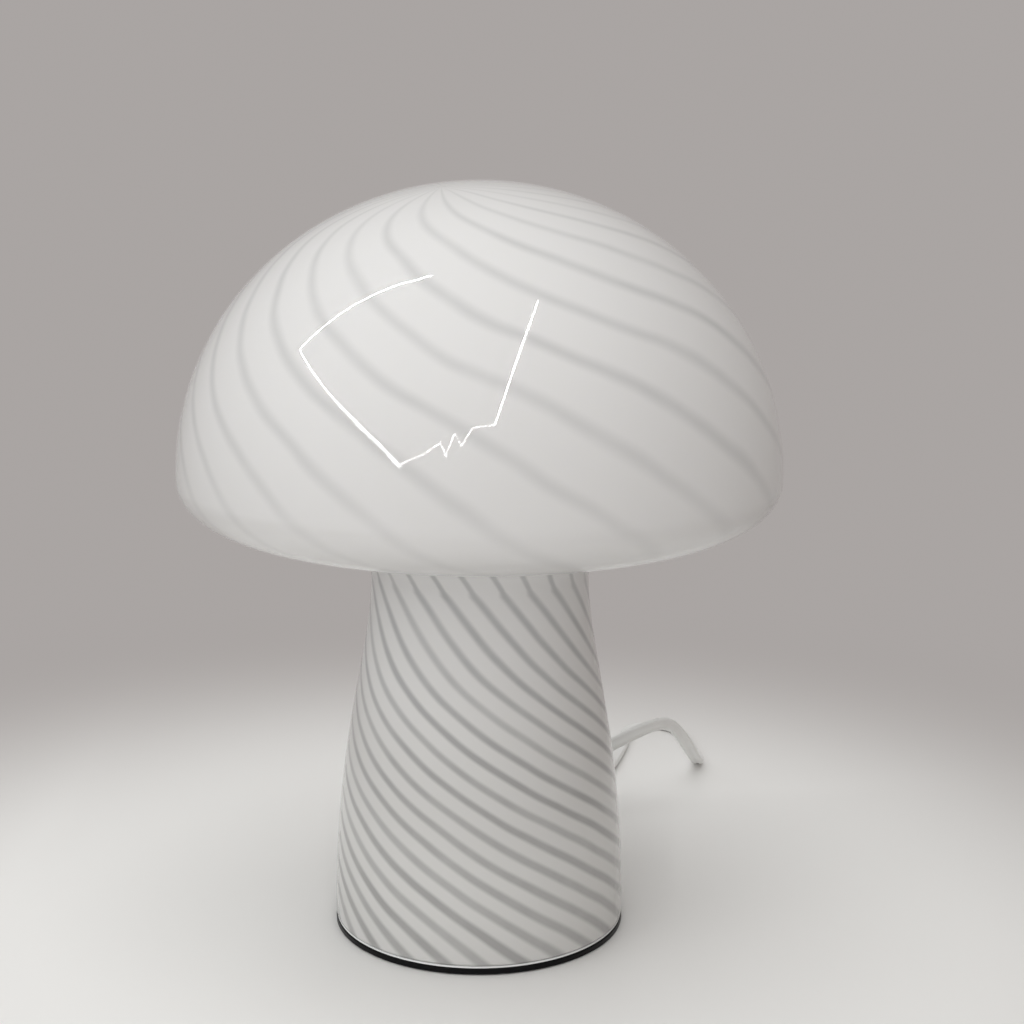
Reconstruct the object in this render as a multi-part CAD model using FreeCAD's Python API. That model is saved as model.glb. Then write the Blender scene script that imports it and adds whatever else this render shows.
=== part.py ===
import FreeCAD, Part
import math
import os
from FreeCAD import Vector

# Mushroom table lamp: one blown glass body, cap and stem together, standing on a black pressed
# base that carries the lampholder, the bulb and the mains lead. Millimetres, +Z up.
# The origin is the centre of the foot pad's underside, and +Y points to the back of the lamp.

# ---------------------------------------------------------------- driving dimensions

# glass body
cap_radius = 100.0
cap_rise = 95.7             # from the widest line of the cap up to its crown
widest_height = 156.5       # height of the cap's widest line above the table
lip_width = 27.0            # the cap's edge rolls under by this much
lip_drop = 17.5
under_radius = 60.0         # where the cap's underside is highest
under_rise = 3.5            # and how far that is above the rolled lip
neck_radius = 36.65
neck_height = 122.3
neck_pull = 26.4            # how slowly the stem draws in to the neck
foot_radius = 49.6
foot_pull = 60.4            # how slowly the stem leaves the upright at its foot
glass_wall = 3.0
glass_edge_round = 0.9
notch_width = 10.4          # the mouth for the lead, at the back of the glass
notch_height = 10.4

# base
pad_show = 0.45             # how much of the foot pad shows below the rim
rim_depth = 2.0
sheet = 1.0
cup_radius = 39.0
cup_height = 25.5           # of the raised cup above the rim
sheet_round = 0.7
gasket_thick = 0.6
gasket_width = 4.6
gasket_inset = 0.3          # how far the gasket stays inside the glass's outer edge
pad_gap = 0.2

# threaded tube and its fasteners
tube_radius = 5.0
tube_bore = 3.6
tube_below = 5.5            # how far it reaches below the cup's top
tube_short = 1.0            # how far its upper end stays inside the lampholder's hub
nut_width = 14.0
nut_thick = 3.0
washer_radius = 9.0
washer_thick = 1.2
lock_washer_thick = 0.8
washer_teeth = 12
tooth_gap = 1.4             # width and depth of the notches between the teeth
tooth_depth = 1.6
thread_gap = 0.05
screw_gap = 0.1             # round a screw in a plain hole

# spring clips that centre the glass
clip_count = 3
clip_thick = 0.6
clip_width = 8.0
clip_start = 24.0           # distance of the clip's inner end from the axis
clip_rise = 13.0
sleeve_wall = 1.1
sleeve_length = 9.0
sleeve_play = 0.1
glass_gap = 0.5             # between a sleeve and the inside of the glass
small_screw_radius = 1.5
small_head_radius = 2.8
small_head_thick = 1.8
small_nut_width = 5.5
small_nut_thick = 2.4
small_screw_length = 7.0
slot_width = 0.7

# lampholder, made for a 26 mm screw cap
holder_radius = 19.0
holder_wall = 2.0
holder_neck_radius = 8.5
holder_neck_height = 7.0
holder_cap_height = 20.0
holder_slope = 6.0
hub_rise = 2.4              # how far the hub stands up inside the cap
skirt_height = 30.0
spigot_depth = 4.0
spigot_wall = 1.3
skirt_lip = 1.2             # thickness of the inward lip at the skirt's mouth
skirt_bevel = 1.0
mouth_gap = 1.0             # between the bulb's cap and that lip
core_thick = 9.0
holder_gap = 0.15
shell_bore = 13.35
shell_wall = 0.4
shell_depth = 17.6
shell_land = 1.1            # metal between the shell's screw hole and the flange's inner edge
contact_thick = 0.4
contact_rise = 1.5
tongue_width = 4.8
tongue_reach = 4.0
tongue_lip = 1.6
terminal_shell_at = 10.8    # distance of the shell's terminal screw from the axis
terminal_tip_at = 5.2
wire_radius = 0.9
wire_rise = 3.0             # of the lead's sheath above the hub

# bulb
bulb_radius = 22.5
bulb_length = 78.0
bulb_wall = 1.2
bulb_cap_radius = 13.1
bulb_cap_length = 21.0
bulb_cap_wall = 0.4
bulb_flare = 0.5
flare_height = 1.5
cap_shoulder = 2.2
bulb_collar_radius = 20.4
housing_wall = 1.4
housing_sleeve = 8.0        # how deep the housing reaches into the screw cap
housing_lip = 0.6
housing_collar = 3.0
tip_radius = 4.6
tip_height = 1.2
insulator_height = 4.0
insulator_radius = 11.0
insulator_seat = 0.4
insulator_gap = 0.05
bulb_play = 0.1
board_thick = 1.2
chip_count = 8
chip_size = 3.0
chip_thick = 0.7
chip_circle = 11.0
driver_width = 17.0
driver_thick = 1.2
driver_below = 13.0         # from the screw cap's rim down to the board's lower edge
capacitor_radius = 4.0
capacitor_length = 12.0
capacitor_below = 7.0

# lead: a flat twin flex, drawn as a round tube as wide as the flex
lead_width = 5.1
lead_play = 0.1
lead_height = 8.0           # height at which the lead leaves the lamp
relief_end = 70.0           # distance of the strain relief's tip from the axis
relief_root_radius = 4.2
relief_tip_radius = 3.3
relief_flange_radius = 5.0
relief_flange_thick = 1.5
turn_pitch = 5.6            # distance between neighbouring turns of the coil
coil_turns = 7
coil_mean_radius = 29.0
coil_x = -12.0
coil_y = 205.0
tie_thick = 0.8
tie_width = 8.0
tie_gap = 0.3               # between the strap and the turns at its two ends
tie_play = 0.1              # above and below the turns
tie_off_table = 0.05

# rocker switch on the lead
switch_x = 2.0
switch_y = 128.0
switch_length = 52.0
switch_width = 24.0
switch_height = 16.0
switch_wall = 1.6
switch_round = 5.0
switch_lower_round = 1.2
switch_upper_round = 2.0
port_height = 7.6
rocker_length = 21.0
rocker_width = 9.6
rocker_gap = 0.5
rocker_tilt = 10.0          # degrees either side of level
rocker_axis_height = 12.2
rocker_top = 3.3            # from the rocker's axis to its raised ends
rocker_drop = 2.0           # from the axis down to its underside
rocker_dip = 1.3
rocker_edge = 1.8
rocker_foot_share = 0.7     # length of its underside as a share of its top
rocker_round = 0.5
rocker_pin_radius = 1.0
pin_play = 0.05
cord_in_switch = 7.0
ear_thick = 2.2
ear_length = 5.2
ear_below = 2.4             # from the rocker's axis down to the ear's lower edge
ear_gap = 0.1
post_along = 16.5           # places of the two screw posts from the switch's middle
post_across = 7.2
post_wall = 1.5
switch_screw_radius = 1.1
switch_head_radius = 2.2
switch_head_thick = 1.2
switch_recess = 1.6
switch_screw_length = 9.5
bridge_length = 12.0
bridge_width = 4.4
bridge_thick = 0.5
terminal_length = 7.0
terminal_width = 5.2
terminal_rise = 0.8
arm_inner = 4.0
arm_width = 4.0
arm_thick = 0.6

# plug with two flat blades
plug_x = -6.0
plug_y = 261.5
plug_length = 28.0
plug_width = 24.0
plug_thick = 15.0
plug_boot_length = 14.0
plug_boot_radius = 4.4
plug_boot_wall = 0.6
plug_edge_round = 4.5
plug_rear_round = 1.5
blade_length = 17.0
blade_width = 6.35
blade_thick = 1.5
blade_spacing = 12.7
blade_root = 6.0
blade_play = 0.02
blade_bevel = 0.4
blade_hole_radius = 1.6
blade_hole_from_tip = 4.4

# ---------------------------------------------------------------- places worked out from them

rim_top = pad_show + rim_depth
glass_foot = rim_top + gasket_thick
cup_top = rim_top + cup_height
crown_height = widest_height + cap_rise
holder_foot = cup_top + washer_thick + nut_thick
skirt_foot = holder_foot + holder_cap_height
skirt_top = skirt_foot + skirt_height
core_foot = skirt_foot + holder_wall
core_top = core_foot + core_thick
bulb_foot = core_top + contact_rise + contact_thick + bulb_play
lead_radius = lead_width / 2.0
floor_lead = lead_radius + 0.05      # height of the lead's middle where it lies on the table
coil_low = tie_thick + tie_play + tie_off_table + lead_radius
coil_high = coil_low + turn_pitch
coil_outer = coil_mean_radius + turn_pitch * coil_turns / 4.0
coil_inner = coil_mean_radius - turn_pitch * coil_turns / 4.0
plug_axis = plug_thick / 2.0
nut_bore = tube_radius + thread_gap
lower_nut_top = cup_top - sheet - lock_washer_thick
hub_height = holder_neck_height + hub_rise
blade_tip = plug_x + plug_length + blade_length


# ---------------------------------------------------------------- shared shapes

def lathe(points):
    """A solid turned about the lamp's axis from a closed outline of (radius, height) points."""
    outline = [Vector(radius, 0, height) for radius, height in points]
    face = Part.Face(Part.makePolygon(outline + outline[:1]))
    return face.revolve(Vector(0, 0, 0), Vector(0, 0, 1), 360)


def ring(inner, outer, low, high):
    return lathe([(inner, low), (outer, low), (outer, high), (inner, high)])


def rod(radius, start, end):
    """A round rod from one point to another."""
    return Part.makeCylinder(radius, (end - start).Length, start, end - start)


def block(low, high):
    return Part.makeBox(high[0] - low[0], high[1] - low[1], high[2] - low[2], Vector(*low))


def rounded(shape, radius, chosen):
    """The shape with a fillet on the edges that the test picks."""
    edges = [edge for edge in shape.Edges if chosen(edge)]
    return shape.makeFillet(radius, edges)


def upright(edge):
    """True for a straight edge that stands along Z."""
    ends = [vertex.Point for vertex in edge.Vertexes]
    return len(ends) == 2 and abs((ends[1] - ends[0]).z) > 0.999 * edge.Length


def hexagon(across_flats, bore, low, high):
    """A hexagon nut about the lamp's axis."""
    reach = across_flats / math.sqrt(3.0)
    corners = [Vector(reach * math.cos(math.radians(60 * k)), reach * math.sin(math.radians(60 * k)), low)
               for k in range(6)]
    body = Part.Face(Part.makePolygon(corners + corners[:1])).extrude(Vector(0, 0, high - low))
    return body.cut(Part.makeCylinder(bore, high - low, Vector(0, 0, low)))


def around(shape, degrees):
    """A copy turned about the lamp's axis."""
    copy = shape.copy()
    copy.rotate(Vector(0, 0, 0), Vector(0, 0, 1), degrees)
    return copy


def moved(shape, x, y, z):
    copy = shape.copy()
    copy.translate(Vector(x, y, z))
    return copy


def arc_edge(start, corner, end):
    """The circular arc that leaves start towards the corner and reaches end coming from it."""
    middle = (start + end) / 2.0
    chord = end - start
    half_turn = (corner - start).getAngle(chord)
    rise = chord.Length / 2.0 * math.tan(half_turn / 2.0)
    outward = (corner - middle).normalize()
    return Part.Arc(start, middle + outward * rise, end).toShape()


def rounded_route(points):
    """Straight runs through the points, joined by tangent arcs as large as the runs allow."""
    points = [Vector(*point) for point in points]
    edges = []
    radii = []
    here = points[0]
    for before, corner, after in zip(points, points[1:], points[2:]):
        reach = 0.45 * min((corner - before).Length, (after - corner).Length)
        start = corner + (before - corner).normalize() * reach
        end = corner + (after - corner).normalize() * reach
        edges.append(Part.LineSegment(here, start).toShape())
        edges.append(arc_edge(start, corner, end))
        turn = (corner - before).getAngle(after - corner)
        radii.append(reach / math.tan(turn / 2.0))
        here = end
    edges.append(Part.LineSegment(here, points[-1]).toShape())
    return Part.Wire(edges), radii


def tube(name, wire, radius):
    """A round solid along the wire, with its volume set against section times length."""
    start = wire.Edges[0]
    direction = start.tangentAt(start.FirstParameter)
    circle = Part.Wire(Part.Circle(start.valueAt(start.FirstParameter), direction, radius).toShape())
    solid = wire.makePipeShell([circle], True, False)
    expected = math.pi * radius ** 2 * wire.Length
    print(name, "length", round(wire.Length, 1), "volume share", round(solid.Volume / expected, 4))
    return solid


def routed_tube(name, points, radius):
    wire, radii = rounded_route(points)
    print(name, "radii", [round(value, 1) for value in radii])
    return tube(name, wire, radius)


# ---------------------------------------------------------------- glass body

def curve(poles):
    shape = Part.BezierCurve()
    shape.setPoles([Vector(radius, 0, height) for radius, height in poles])
    return shape.toShape()


def quarter_ellipse(start, corner, end):
    """A quarter of an ellipse that touches both legs of the corner."""
    poles = [Vector(radius, 0, height) for radius, height in (start, corner, end)]
    shape = Part.BSplineCurve()
    shape.buildFromPolesMultsKnots(poles, [3, 3], [0, 1], False, 2, [1, math.sqrt(0.5), 1])
    return shape.toShape()


def stem_poles(inset):
    foot = glass_foot + glass_edge_round
    return [(foot_radius - inset, foot), (foot_radius - inset, foot + foot_pull),
            (neck_radius - inset, neck_height - neck_pull), (neck_radius - inset, neck_height)]


def stem_radius(height, inset):
    """The stem's radius at a height, read from its curve."""
    poles = stem_poles(inset)
    low, high = 0.0, 1.0
    for _ in range(50):
        share = (low + high) / 2.0
        weights = [(1 - share) ** 3, 3 * share * (1 - share) ** 2, 3 * share ** 2 * (1 - share), share ** 3]
        here = sum(weight * pole[1] for weight, pole in zip(weights, poles))
        if here < height:
            low = share
        else:
            high = share
    return sum(weight * pole[0] for weight, pole in zip(weights, poles))


def glass_skin(inset):
    """The glass's outline from its foot to its crown, moved into the wall by the inset."""
    side = cap_radius - inset
    lip = widest_height - lip_drop + inset
    lip_inner = cap_radius - lip_width
    under = widest_height - lip_drop + under_rise + inset
    neck = neck_radius - inset
    blend = (lip_inner - under_radius) / 2.0
    flare_up = 0.7 * (under - neck_height)
    flare_out = 0.5 * (under_radius - neck)
    return [
        curve(stem_poles(inset)),
        curve([(neck, neck_height), (neck, neck_height + flare_up),
               (under_radius - flare_out, under), (under_radius, under)]),
        curve([(under_radius, under), (under_radius + blend, under),
               (lip_inner - blend, lip), (lip_inner, lip)]),
        quarter_ellipse((lip_inner, lip), (side, lip), (side, widest_height)),
        quarter_ellipse((side, widest_height), (side, crown_height - inset), (0, crown_height - inset)),
    ]


def glass_body():
    inner_foot = foot_radius - glass_wall
    bend = glass_edge_round
    outer_edge = quarter_ellipse((foot_radius - bend, glass_foot), (foot_radius, glass_foot),
                                 (foot_radius, glass_foot + bend))
    inner_edge = quarter_ellipse((inner_foot + bend, glass_foot), (inner_foot, glass_foot),
                                 (inner_foot, glass_foot + bend))
    foot = Part.LineSegment(Vector(inner_foot + bend, 0, glass_foot),
                            Vector(foot_radius - bend, 0, glass_foot)).toShape()
    crown = Part.LineSegment(Vector(0, 0, crown_height - glass_wall), Vector(0, 0, crown_height)).toShape()
    edges = [foot, outer_edge, inner_edge, crown] + glass_skin(0) + glass_skin(glass_wall)
    outline = Part.Wire(Part.sortEdges(edges)[0])
    body = Part.Face(outline).revolve(Vector(0, 0, 0), Vector(0, 0, 1), 360)
    half = notch_width / 2.0
    inside = foot_radius - 3 * glass_wall
    outside = foot_radius + glass_wall
    arch = glass_foot + notch_height - half
    mouth = block((-half, inside, 0), (half, outside, arch))
    mouth = mouth.fuse(rod(half, Vector(0, inside, arch), Vector(0, outside, arch)))
    return body.cut(mouth)


# ---------------------------------------------------------------- base

def base_plate():
    under = rim_top - sheet
    plate = lathe([
        (tube_radius + 2 * thread_gap, cup_top), (cup_radius, cup_top), (cup_radius, rim_top),
        (foot_radius, rim_top), (foot_radius, pad_show), (foot_radius - sheet, pad_show),
        (foot_radius - sheet, under), (cup_radius - sheet, under), (cup_radius - sheet, cup_top - sheet),
        (tube_radius + 2 * thread_gap, cup_top - sheet)])

    def bent(edge):
        circle = edge.Curve
        if not hasattr(circle, "Radius"):
            return False
        at = (round(circle.Radius, 4), round(circle.Center.z, 4))
        return at in [(round(cup_radius, 4), round(cup_top, 4)), (round(foot_radius, 4), round(rim_top, 4)),
                      (round(cup_radius, 4), round(rim_top, 4))]

    plate = rounded(plate, sheet_round, bent)
    hole = rod(relief_root_radius + thread_gap, Vector(0, cup_radius - 4 * sheet, lead_height),
               Vector(0, cup_radius + sheet, lead_height))
    plate = plate.cut(hole)
    for turn in clip_turns():
        screw_hole = rod(small_screw_radius + screw_gap, Vector(clip_screw_at, 0, cup_top - 2 * sheet),
                         Vector(clip_screw_at, 0, cup_top + sheet))
        plate = plate.cut(around(screw_hole, turn))
    return plate


def foot_pad():
    return ring(0, foot_radius - sheet - pad_gap, 0, rim_top - sheet)


def glass_gasket():
    return ring(foot_radius - gasket_width, foot_radius - gasket_inset, rim_top, glass_foot)


# ---------------------------------------------------------------- clips

clip_screw_at = clip_start + clip_width / 2.0
clip_top = cup_top + clip_thick + clip_rise
sleeve_half = clip_width / 2.0 + sleeve_wall
sleeve_face = math.sqrt((stem_radius(clip_top, glass_wall) - glass_gap) ** 2 - sleeve_half ** 2)
clip_out = sleeve_face - sleeve_wall - sleeve_play


def clip_turns():
    """Where the clips stand, clear of the lead at the back."""
    return [-90 + 360.0 / clip_count * k for k in range(clip_count)]


def clip_spring():
    low = cup_top
    half = clip_width / 2.0
    flat = block((clip_start, -half, low), (clip_out, half, low + clip_thick))
    arm = block((clip_out - clip_thick, -half, low), (clip_out, half, clip_top))
    spring = flat.fuse(arm).removeSplitter()

    def corner(edge):
        middle = edge.CenterOfMass
        return abs(middle.x - clip_out) < 0.01 and abs(middle.z - low) < 0.01

    spring = rounded(spring, clip_thick * 2, corner)
    screw_hole = rod(small_screw_radius + screw_gap, Vector(clip_screw_at, 0, low - clip_thick),
                     Vector(clip_screw_at, 0, low + 2 * clip_thick))
    return spring.cut(screw_hole)


def clip_sleeve():
    """A soft sleeve pushed over the upright arm of a clip."""
    inner = clip_out - clip_thick - sleeve_play
    pocket_half = clip_width / 2.0 + sleeve_play
    low = clip_top - sleeve_length
    high = clip_top + sleeve_wall
    outside = block((inner - sleeve_wall, -sleeve_half, low), (sleeve_face, sleeve_half, high))
    pocket = block((inner, -pocket_half, low), (clip_out + sleeve_play, pocket_half, clip_top))
    return outside.cut(pocket)


def clip_screw():
    top = cup_top + clip_thick
    head = Part.makeCylinder(small_head_radius, small_head_thick, Vector(clip_screw_at, 0, top))
    crown = top + 0.9 * small_head_thick
    head = rounded(head, small_head_thick / 3.0, lambda edge: edge.CenterOfMass.z > crown)
    shank = Part.makeCylinder(small_screw_radius, small_screw_length,
                              Vector(clip_screw_at, 0, top - small_screw_length))
    slot = block((clip_screw_at - small_head_radius, -slot_width / 2.0, top + small_head_thick / 2.0),
                 (clip_screw_at + small_head_radius, slot_width / 2.0, top + 2 * small_head_thick))
    return head.fuse(shank).removeSplitter().cut(slot)


def clip_nut():
    top = cup_top - sheet
    nut = hexagon(small_nut_width, small_screw_radius + thread_gap, top - small_nut_thick, top)
    return moved(nut, clip_screw_at, 0, 0)


def group(shape):
    """One copy of a shape for every clip."""
    return Part.makeCompound([around(shape, turn) for turn in clip_turns()])


# ---------------------------------------------------------------- threaded tube

def threaded_tube():
    return ring(tube_bore, tube_radius, cup_top - sheet - tube_below, holder_foot + hub_height - tube_short)


def lock_washer():
    """A toothed washer under the cup's top."""
    high = cup_top - sheet
    low = high - lock_washer_thick
    washer = ring(tube_radius + 2 * thread_gap, washer_radius, low, high)
    notch = block((washer_radius - tooth_depth, -tooth_gap / 2.0, low),
                  (washer_radius + tooth_depth, tooth_gap / 2.0, high))
    for k in range(washer_teeth):
        washer = washer.cut(around(notch, 360.0 / washer_teeth * k))
    return washer


# ---------------------------------------------------------------- lampholder

def holder_cap():
    foot = holder_foot
    neck = foot + holder_neck_height
    top = foot + holder_cap_height
    inside = holder_radius - holder_wall
    floor = neck + holder_slope
    cap = lathe([
        (nut_bore, foot), (holder_neck_radius, foot), (holder_neck_radius, neck), (holder_radius, floor),
        (holder_radius, top), (inside, top), (inside, floor + holder_wall / 2.0),
        (holder_neck_radius, foot + hub_height), (nut_bore, foot + hub_height)])
    screw_height = foot + holder_neck_height / 2.0
    return cap.cut(rod(small_screw_radius + thread_gap, Vector(0, -2 * holder_neck_radius, screw_height),
                       Vector(0, 0, screw_height)))


def lock_screw():
    """The screw that keeps the lampholder from turning on its tube."""
    height = holder_foot + holder_neck_height / 2.0
    inner = -nut_bore
    outer = -holder_neck_radius - screw_gap
    far = outer - small_head_thick
    head = rod(small_head_radius, Vector(0, outer, height), Vector(0, far, height))
    shank = rod(small_screw_radius, Vector(0, inner, height), Vector(0, outer, height))
    slot = block((-small_head_radius, far - small_head_thick, height - slot_width / 2.0),
                 (small_head_radius, far + small_head_thick / 2.0, height + slot_width / 2.0))
    return head.fuse(shank).removeSplitter().cut(slot)


def holder_skirt():
    """The tall outer shell of the lampholder, with a spigot that plugs into its cap."""
    inside = holder_radius - holder_wall
    spigot = inside - holder_gap
    ledge = spigot - spigot_wall
    mouth = bulb_cap_radius + bulb_flare + mouth_gap
    lip = skirt_top - skirt_lip
    return lathe([
        (ledge, skirt_foot - spigot_depth), (spigot, skirt_foot - spigot_depth), (spigot, skirt_foot),
        (holder_radius, skirt_foot), (holder_radius, skirt_top - skirt_bevel),
        (holder_radius - skirt_bevel, skirt_top), (mouth, skirt_top), (mouth, lip), (inside, lip),
        (inside, core_foot), (ledge, core_foot)])


def holder_core():
    """The ceramic block inside the lampholder that carries the contacts."""
    radius = holder_radius - holder_wall - holder_gap
    core = ring(0, radius, core_foot, core_top)
    for at in (-terminal_shell_at, terminal_tip_at):
        hole = rod(small_screw_radius + screw_gap, Vector(at, 0, core_foot), Vector(at, 0, core_top))
        core = core.cut(hole)
    return core


def screw_shell():
    """The threaded metal shell that the bulb screws into, with its bottom flange."""
    outer = shell_bore + shell_wall
    flange = terminal_shell_at - small_screw_radius - shell_land
    shell = lathe([
        (flange, core_top), (outer, core_top), (outer, core_top + shell_depth),
        (shell_bore, core_top + shell_depth), (shell_bore, core_top + shell_wall),
        (flange, core_top + shell_wall)])
    hole = rod(small_screw_radius + thread_gap, Vector(-terminal_shell_at, 0, core_top),
               Vector(-terminal_shell_at, 0, core_top + shell_wall))
    return shell.cut(hole)


def tip_contact():
    """The sprung tongue under the bulb's tip."""
    low = core_top
    middle = low + contact_rise / 2.0
    high = low + contact_rise
    thick = contact_thick
    end = terminal_tip_at + tongue_width / 2.0
    back = -tongue_reach
    bow = back - 0.8 * contact_rise
    outline = [
        (end, low), (back, low), (bow, middle), (back, high), (0, high + thick), (tongue_lip, high),
        (tongue_lip, high - thick), (0, high), (back + thick, high - thick), (bow + thick, middle),
        (back + thick, low + thick), (end, low + thick)]
    corners = [Vector(x, -tongue_width / 2.0, z) for x, z in outline]
    tongue = Part.Face(Part.makePolygon(corners + corners[:1])).extrude(Vector(0, tongue_width, 0))
    hole = rod(small_screw_radius + thread_gap, Vector(terminal_tip_at, 0, low),
               Vector(terminal_tip_at, 0, low + thick))
    return tongue.cut(hole)


def terminal_screws():
    screws = []
    for at in (-terminal_shell_at, terminal_tip_at):
        seat = Vector(at, 0, core_foot)
        head = Part.makeCylinder(small_head_radius, small_head_thick, seat - Vector(0, 0, small_head_thick))
        shank = Part.makeCylinder(small_screw_radius, core_thick + contact_thick, seat)
        screws.append(head.fuse(shank).removeSplitter())
    return Part.makeCompound(screws)


# ---------------------------------------------------------------- bulb

cap_low = bulb_foot + tip_height + insulator_height - insulator_seat
cap_high = cap_low + bulb_cap_length
globe_centre = bulb_foot + bulb_length - bulb_radius
collar_height = globe_centre - math.sqrt(bulb_radius ** 2 - bulb_collar_radius ** 2)


def bulb_tip():
    low = bulb_foot
    high = bulb_foot + tip_height
    return lathe([(0, low), (0.6 * tip_radius, low), (tip_radius, high), (0, high)])


def bulb_insulator():
    low = bulb_foot + tip_height
    high = low + insulator_height
    return lathe([(0, low), (tip_radius + tip_height / 2.0, low), (insulator_radius, cap_low),
                  (insulator_radius, high), (0, high)])


def bulb_screw_cap():
    """The bulb's metal cap, open at the top, with a small flare at its rim."""
    wall = bulb_cap_wall
    low_in = insulator_radius + insulator_gap
    inner = bulb_cap_radius - wall
    shoulder = cap_low + cap_shoulder
    flare = cap_high - flare_height
    return lathe([
        (low_in, cap_low), (low_in + wall, cap_low), (bulb_cap_radius, shoulder), (bulb_cap_radius, flare),
        (bulb_cap_radius + bulb_flare, cap_high), (inner + bulb_flare, cap_high),
        (inner, flare - wall / 4.0), (inner, shoulder + wall / 2.0), (low_in, cap_low + 1.5 * wall)])


def bulb_housing():
    """The plastic cone between the screw cap and the globe."""
    wall = housing_wall
    sleeve = bulb_cap_radius - bulb_cap_wall - thread_gap
    flare = cap_high - flare_height
    ledge = collar_height - board_thick - chip_thick
    return lathe([
        (sleeve - wall, cap_high - housing_sleeve), (sleeve, cap_high - housing_sleeve), (sleeve, flare),
        (sleeve + bulb_flare, cap_high), (bulb_cap_radius + bulb_flare, cap_high + thread_gap),
        (bulb_cap_radius + bulb_flare + housing_lip, cap_high + 2 * housing_lip),
        (bulb_collar_radius, collar_height - housing_collar), (bulb_collar_radius, collar_height),
        (bulb_collar_radius - wall, collar_height), (bulb_collar_radius - wall, ledge),
        (bulb_collar_radius - 2.5 * wall, ledge - wall / 2.0), (sleeve - wall, cap_high + 2 * housing_lip)])


def bulb_globe():
    """A ball of diffusing plastic, cut open where it meets the housing."""
    centre = Vector(0, 0, globe_centre)
    ball = Part.makeSphere(bulb_radius, centre).cut(Part.makeSphere(bulb_radius - bulb_wall, centre))
    below = Part.makeCylinder(2 * bulb_radius, 2 * bulb_radius, Vector(0, 0, collar_height - 2 * bulb_radius))
    return ball.cut(below)


board_low = collar_height - board_thick - chip_thick


def led_board():
    return ring(0, bulb_collar_radius - housing_wall - screw_gap, board_low, board_low + board_thick)


def led_chips():
    half = chip_size / 2.0
    chip = block((chip_circle - half, -half, board_low + board_thick),
                 (chip_circle + half, half, board_low + board_thick + chip_thick))
    return Part.makeCompound([around(chip, 360.0 / chip_count * k) for k in range(chip_count)])


def driver_board():
    """The upright circuit board between the screw cap and the light board."""
    half_wide = driver_width / 2.0
    half_thick = driver_thick / 2.0
    return block((-half_wide, -half_thick, cap_high - driver_below), (half_wide, half_thick, board_low))


def driver_capacitor():
    place = Vector(0, capacitor_radius + driver_thick / 2.0 + thread_gap, cap_high - capacitor_below)
    return Part.makeCylinder(capacitor_radius, capacitor_length, place)


# ---------------------------------------------------------------- lead inside the lamp

lead_top = holder_foot + hub_height + wire_rise


def inner_lead():
    points = [(0, 0, lead_top), (0, 0, lead_height), (0, relief_end, lead_height)]
    depth = cup_top - sheet - tube_below - lead_height
    corner = Vector(*points[1])
    start = corner + Vector(0, 0, depth)
    end = corner + Vector(0, depth, 0)
    wire = Part.Wire([Part.LineSegment(Vector(*points[0]), start).toShape(), arc_edge(start, corner, end),
                      Part.LineSegment(end, Vector(*points[2])).toShape()])
    return tube("inner_lead", wire, lead_radius)


def holder_wires():
    """The two bare ends of the lead, bent out to the terminal screws."""
    wires = []
    for at in (-terminal_shell_at, terminal_tip_at):
        side = math.copysign(lead_radius / 2.0, at)
        middle = (lead_top + core_foot - small_head_thick) / 2.0
        points = [(side, 0, lead_top), (side, 0, middle - wire_radius), (at, 0, middle + wire_radius),
                  (at, 0, core_foot - small_head_thick)]
        wires.append(routed_tube("holder_wire", points, wire_radius))
    return Part.makeCompound(wires)


def strain_relief():
    """The moulded bush in the cup's wall, with a long tapered tail around the lead."""
    bore = lead_radius + lead_play
    wall_out = cup_radius + 0.05
    wall_in = math.sqrt((cup_radius - sheet) ** 2 - relief_flange_radius ** 2) - 0.05
    outline = [
        (bore, wall_in - relief_flange_thick), (relief_flange_radius, wall_in - relief_flange_thick),
        (relief_flange_radius, wall_in), (relief_root_radius, wall_in), (relief_root_radius, wall_out),
        (relief_flange_radius, wall_out), (relief_flange_radius, wall_out + relief_flange_thick),
        (relief_root_radius, wall_out + relief_flange_thick), (relief_tip_radius, relief_end),
        (bore, relief_end)]
    corners = [Vector(radius, along, lead_height) for radius, along in outline]
    face = Part.Face(Part.makePolygon(corners + corners[:1]))
    return face.revolve(Vector(0, 0, lead_height), Vector(0, 1, 0), 360)


# ---------------------------------------------------------------- lead outside the lamp

switch_right = switch_x + switch_length / 2.0 - cord_in_switch
switch_left = switch_x - switch_length / 2.0 + cord_in_switch

# up in a springy arch beside the stem, down to the table and back behind the lamp
lead_route = [
    (0, relief_end, lead_height), (0, 78.5, lead_height), (3.2, 87.5, 9.2), (10.2, 94.3, 11.6),
    (20.5, 97.6, 15), (32.5, 98.4, 19), (45, 98.6, 24), (57, 100.4, 29.6), (68, 105.2, 33.6),
    (76.8, 113.8, 32.8), (83.2, 124.2, 24.6), (88.6, 135, 14.2), (93.6, 146.4, 5), (95.4, 158, floor_lead),
    (94.3, 169.8, floor_lead), (93.1, 181.5, floor_lead), (92, 192.6, floor_lead), (89.6, 199.6, floor_lead),
    (84.6, 204.2, floor_lead), (77.8, 205.4, floor_lead), (71.2, 202.8, floor_lead), (67.2, 197, floor_lead),
    (65.8, 188.5, floor_lead), (64, 178.5, floor_lead), (61.6, 168, floor_lead), (58.8, 157.5, floor_lead),
    (55.8, 147, 2.8), (51.4, 138, 3.6), (44, 131.2, 5.4), (34.5, 128.4, 7), (28.2, switch_y, port_height),
    (switch_right, switch_y, port_height)]

# from the switch round to the left side of the coil
feed_route = [
    (switch_left, switch_y, port_height), (-26.5, switch_y, port_height), (-38, 130.2, 5.6),
    (-46.6, 138.2, 3.2), (-51, 149, floor_lead), (-52.3, 161.5, floor_lead),
    (-51.6, 174, floor_lead), (-50.9, 187.5, coil_low)]

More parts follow.
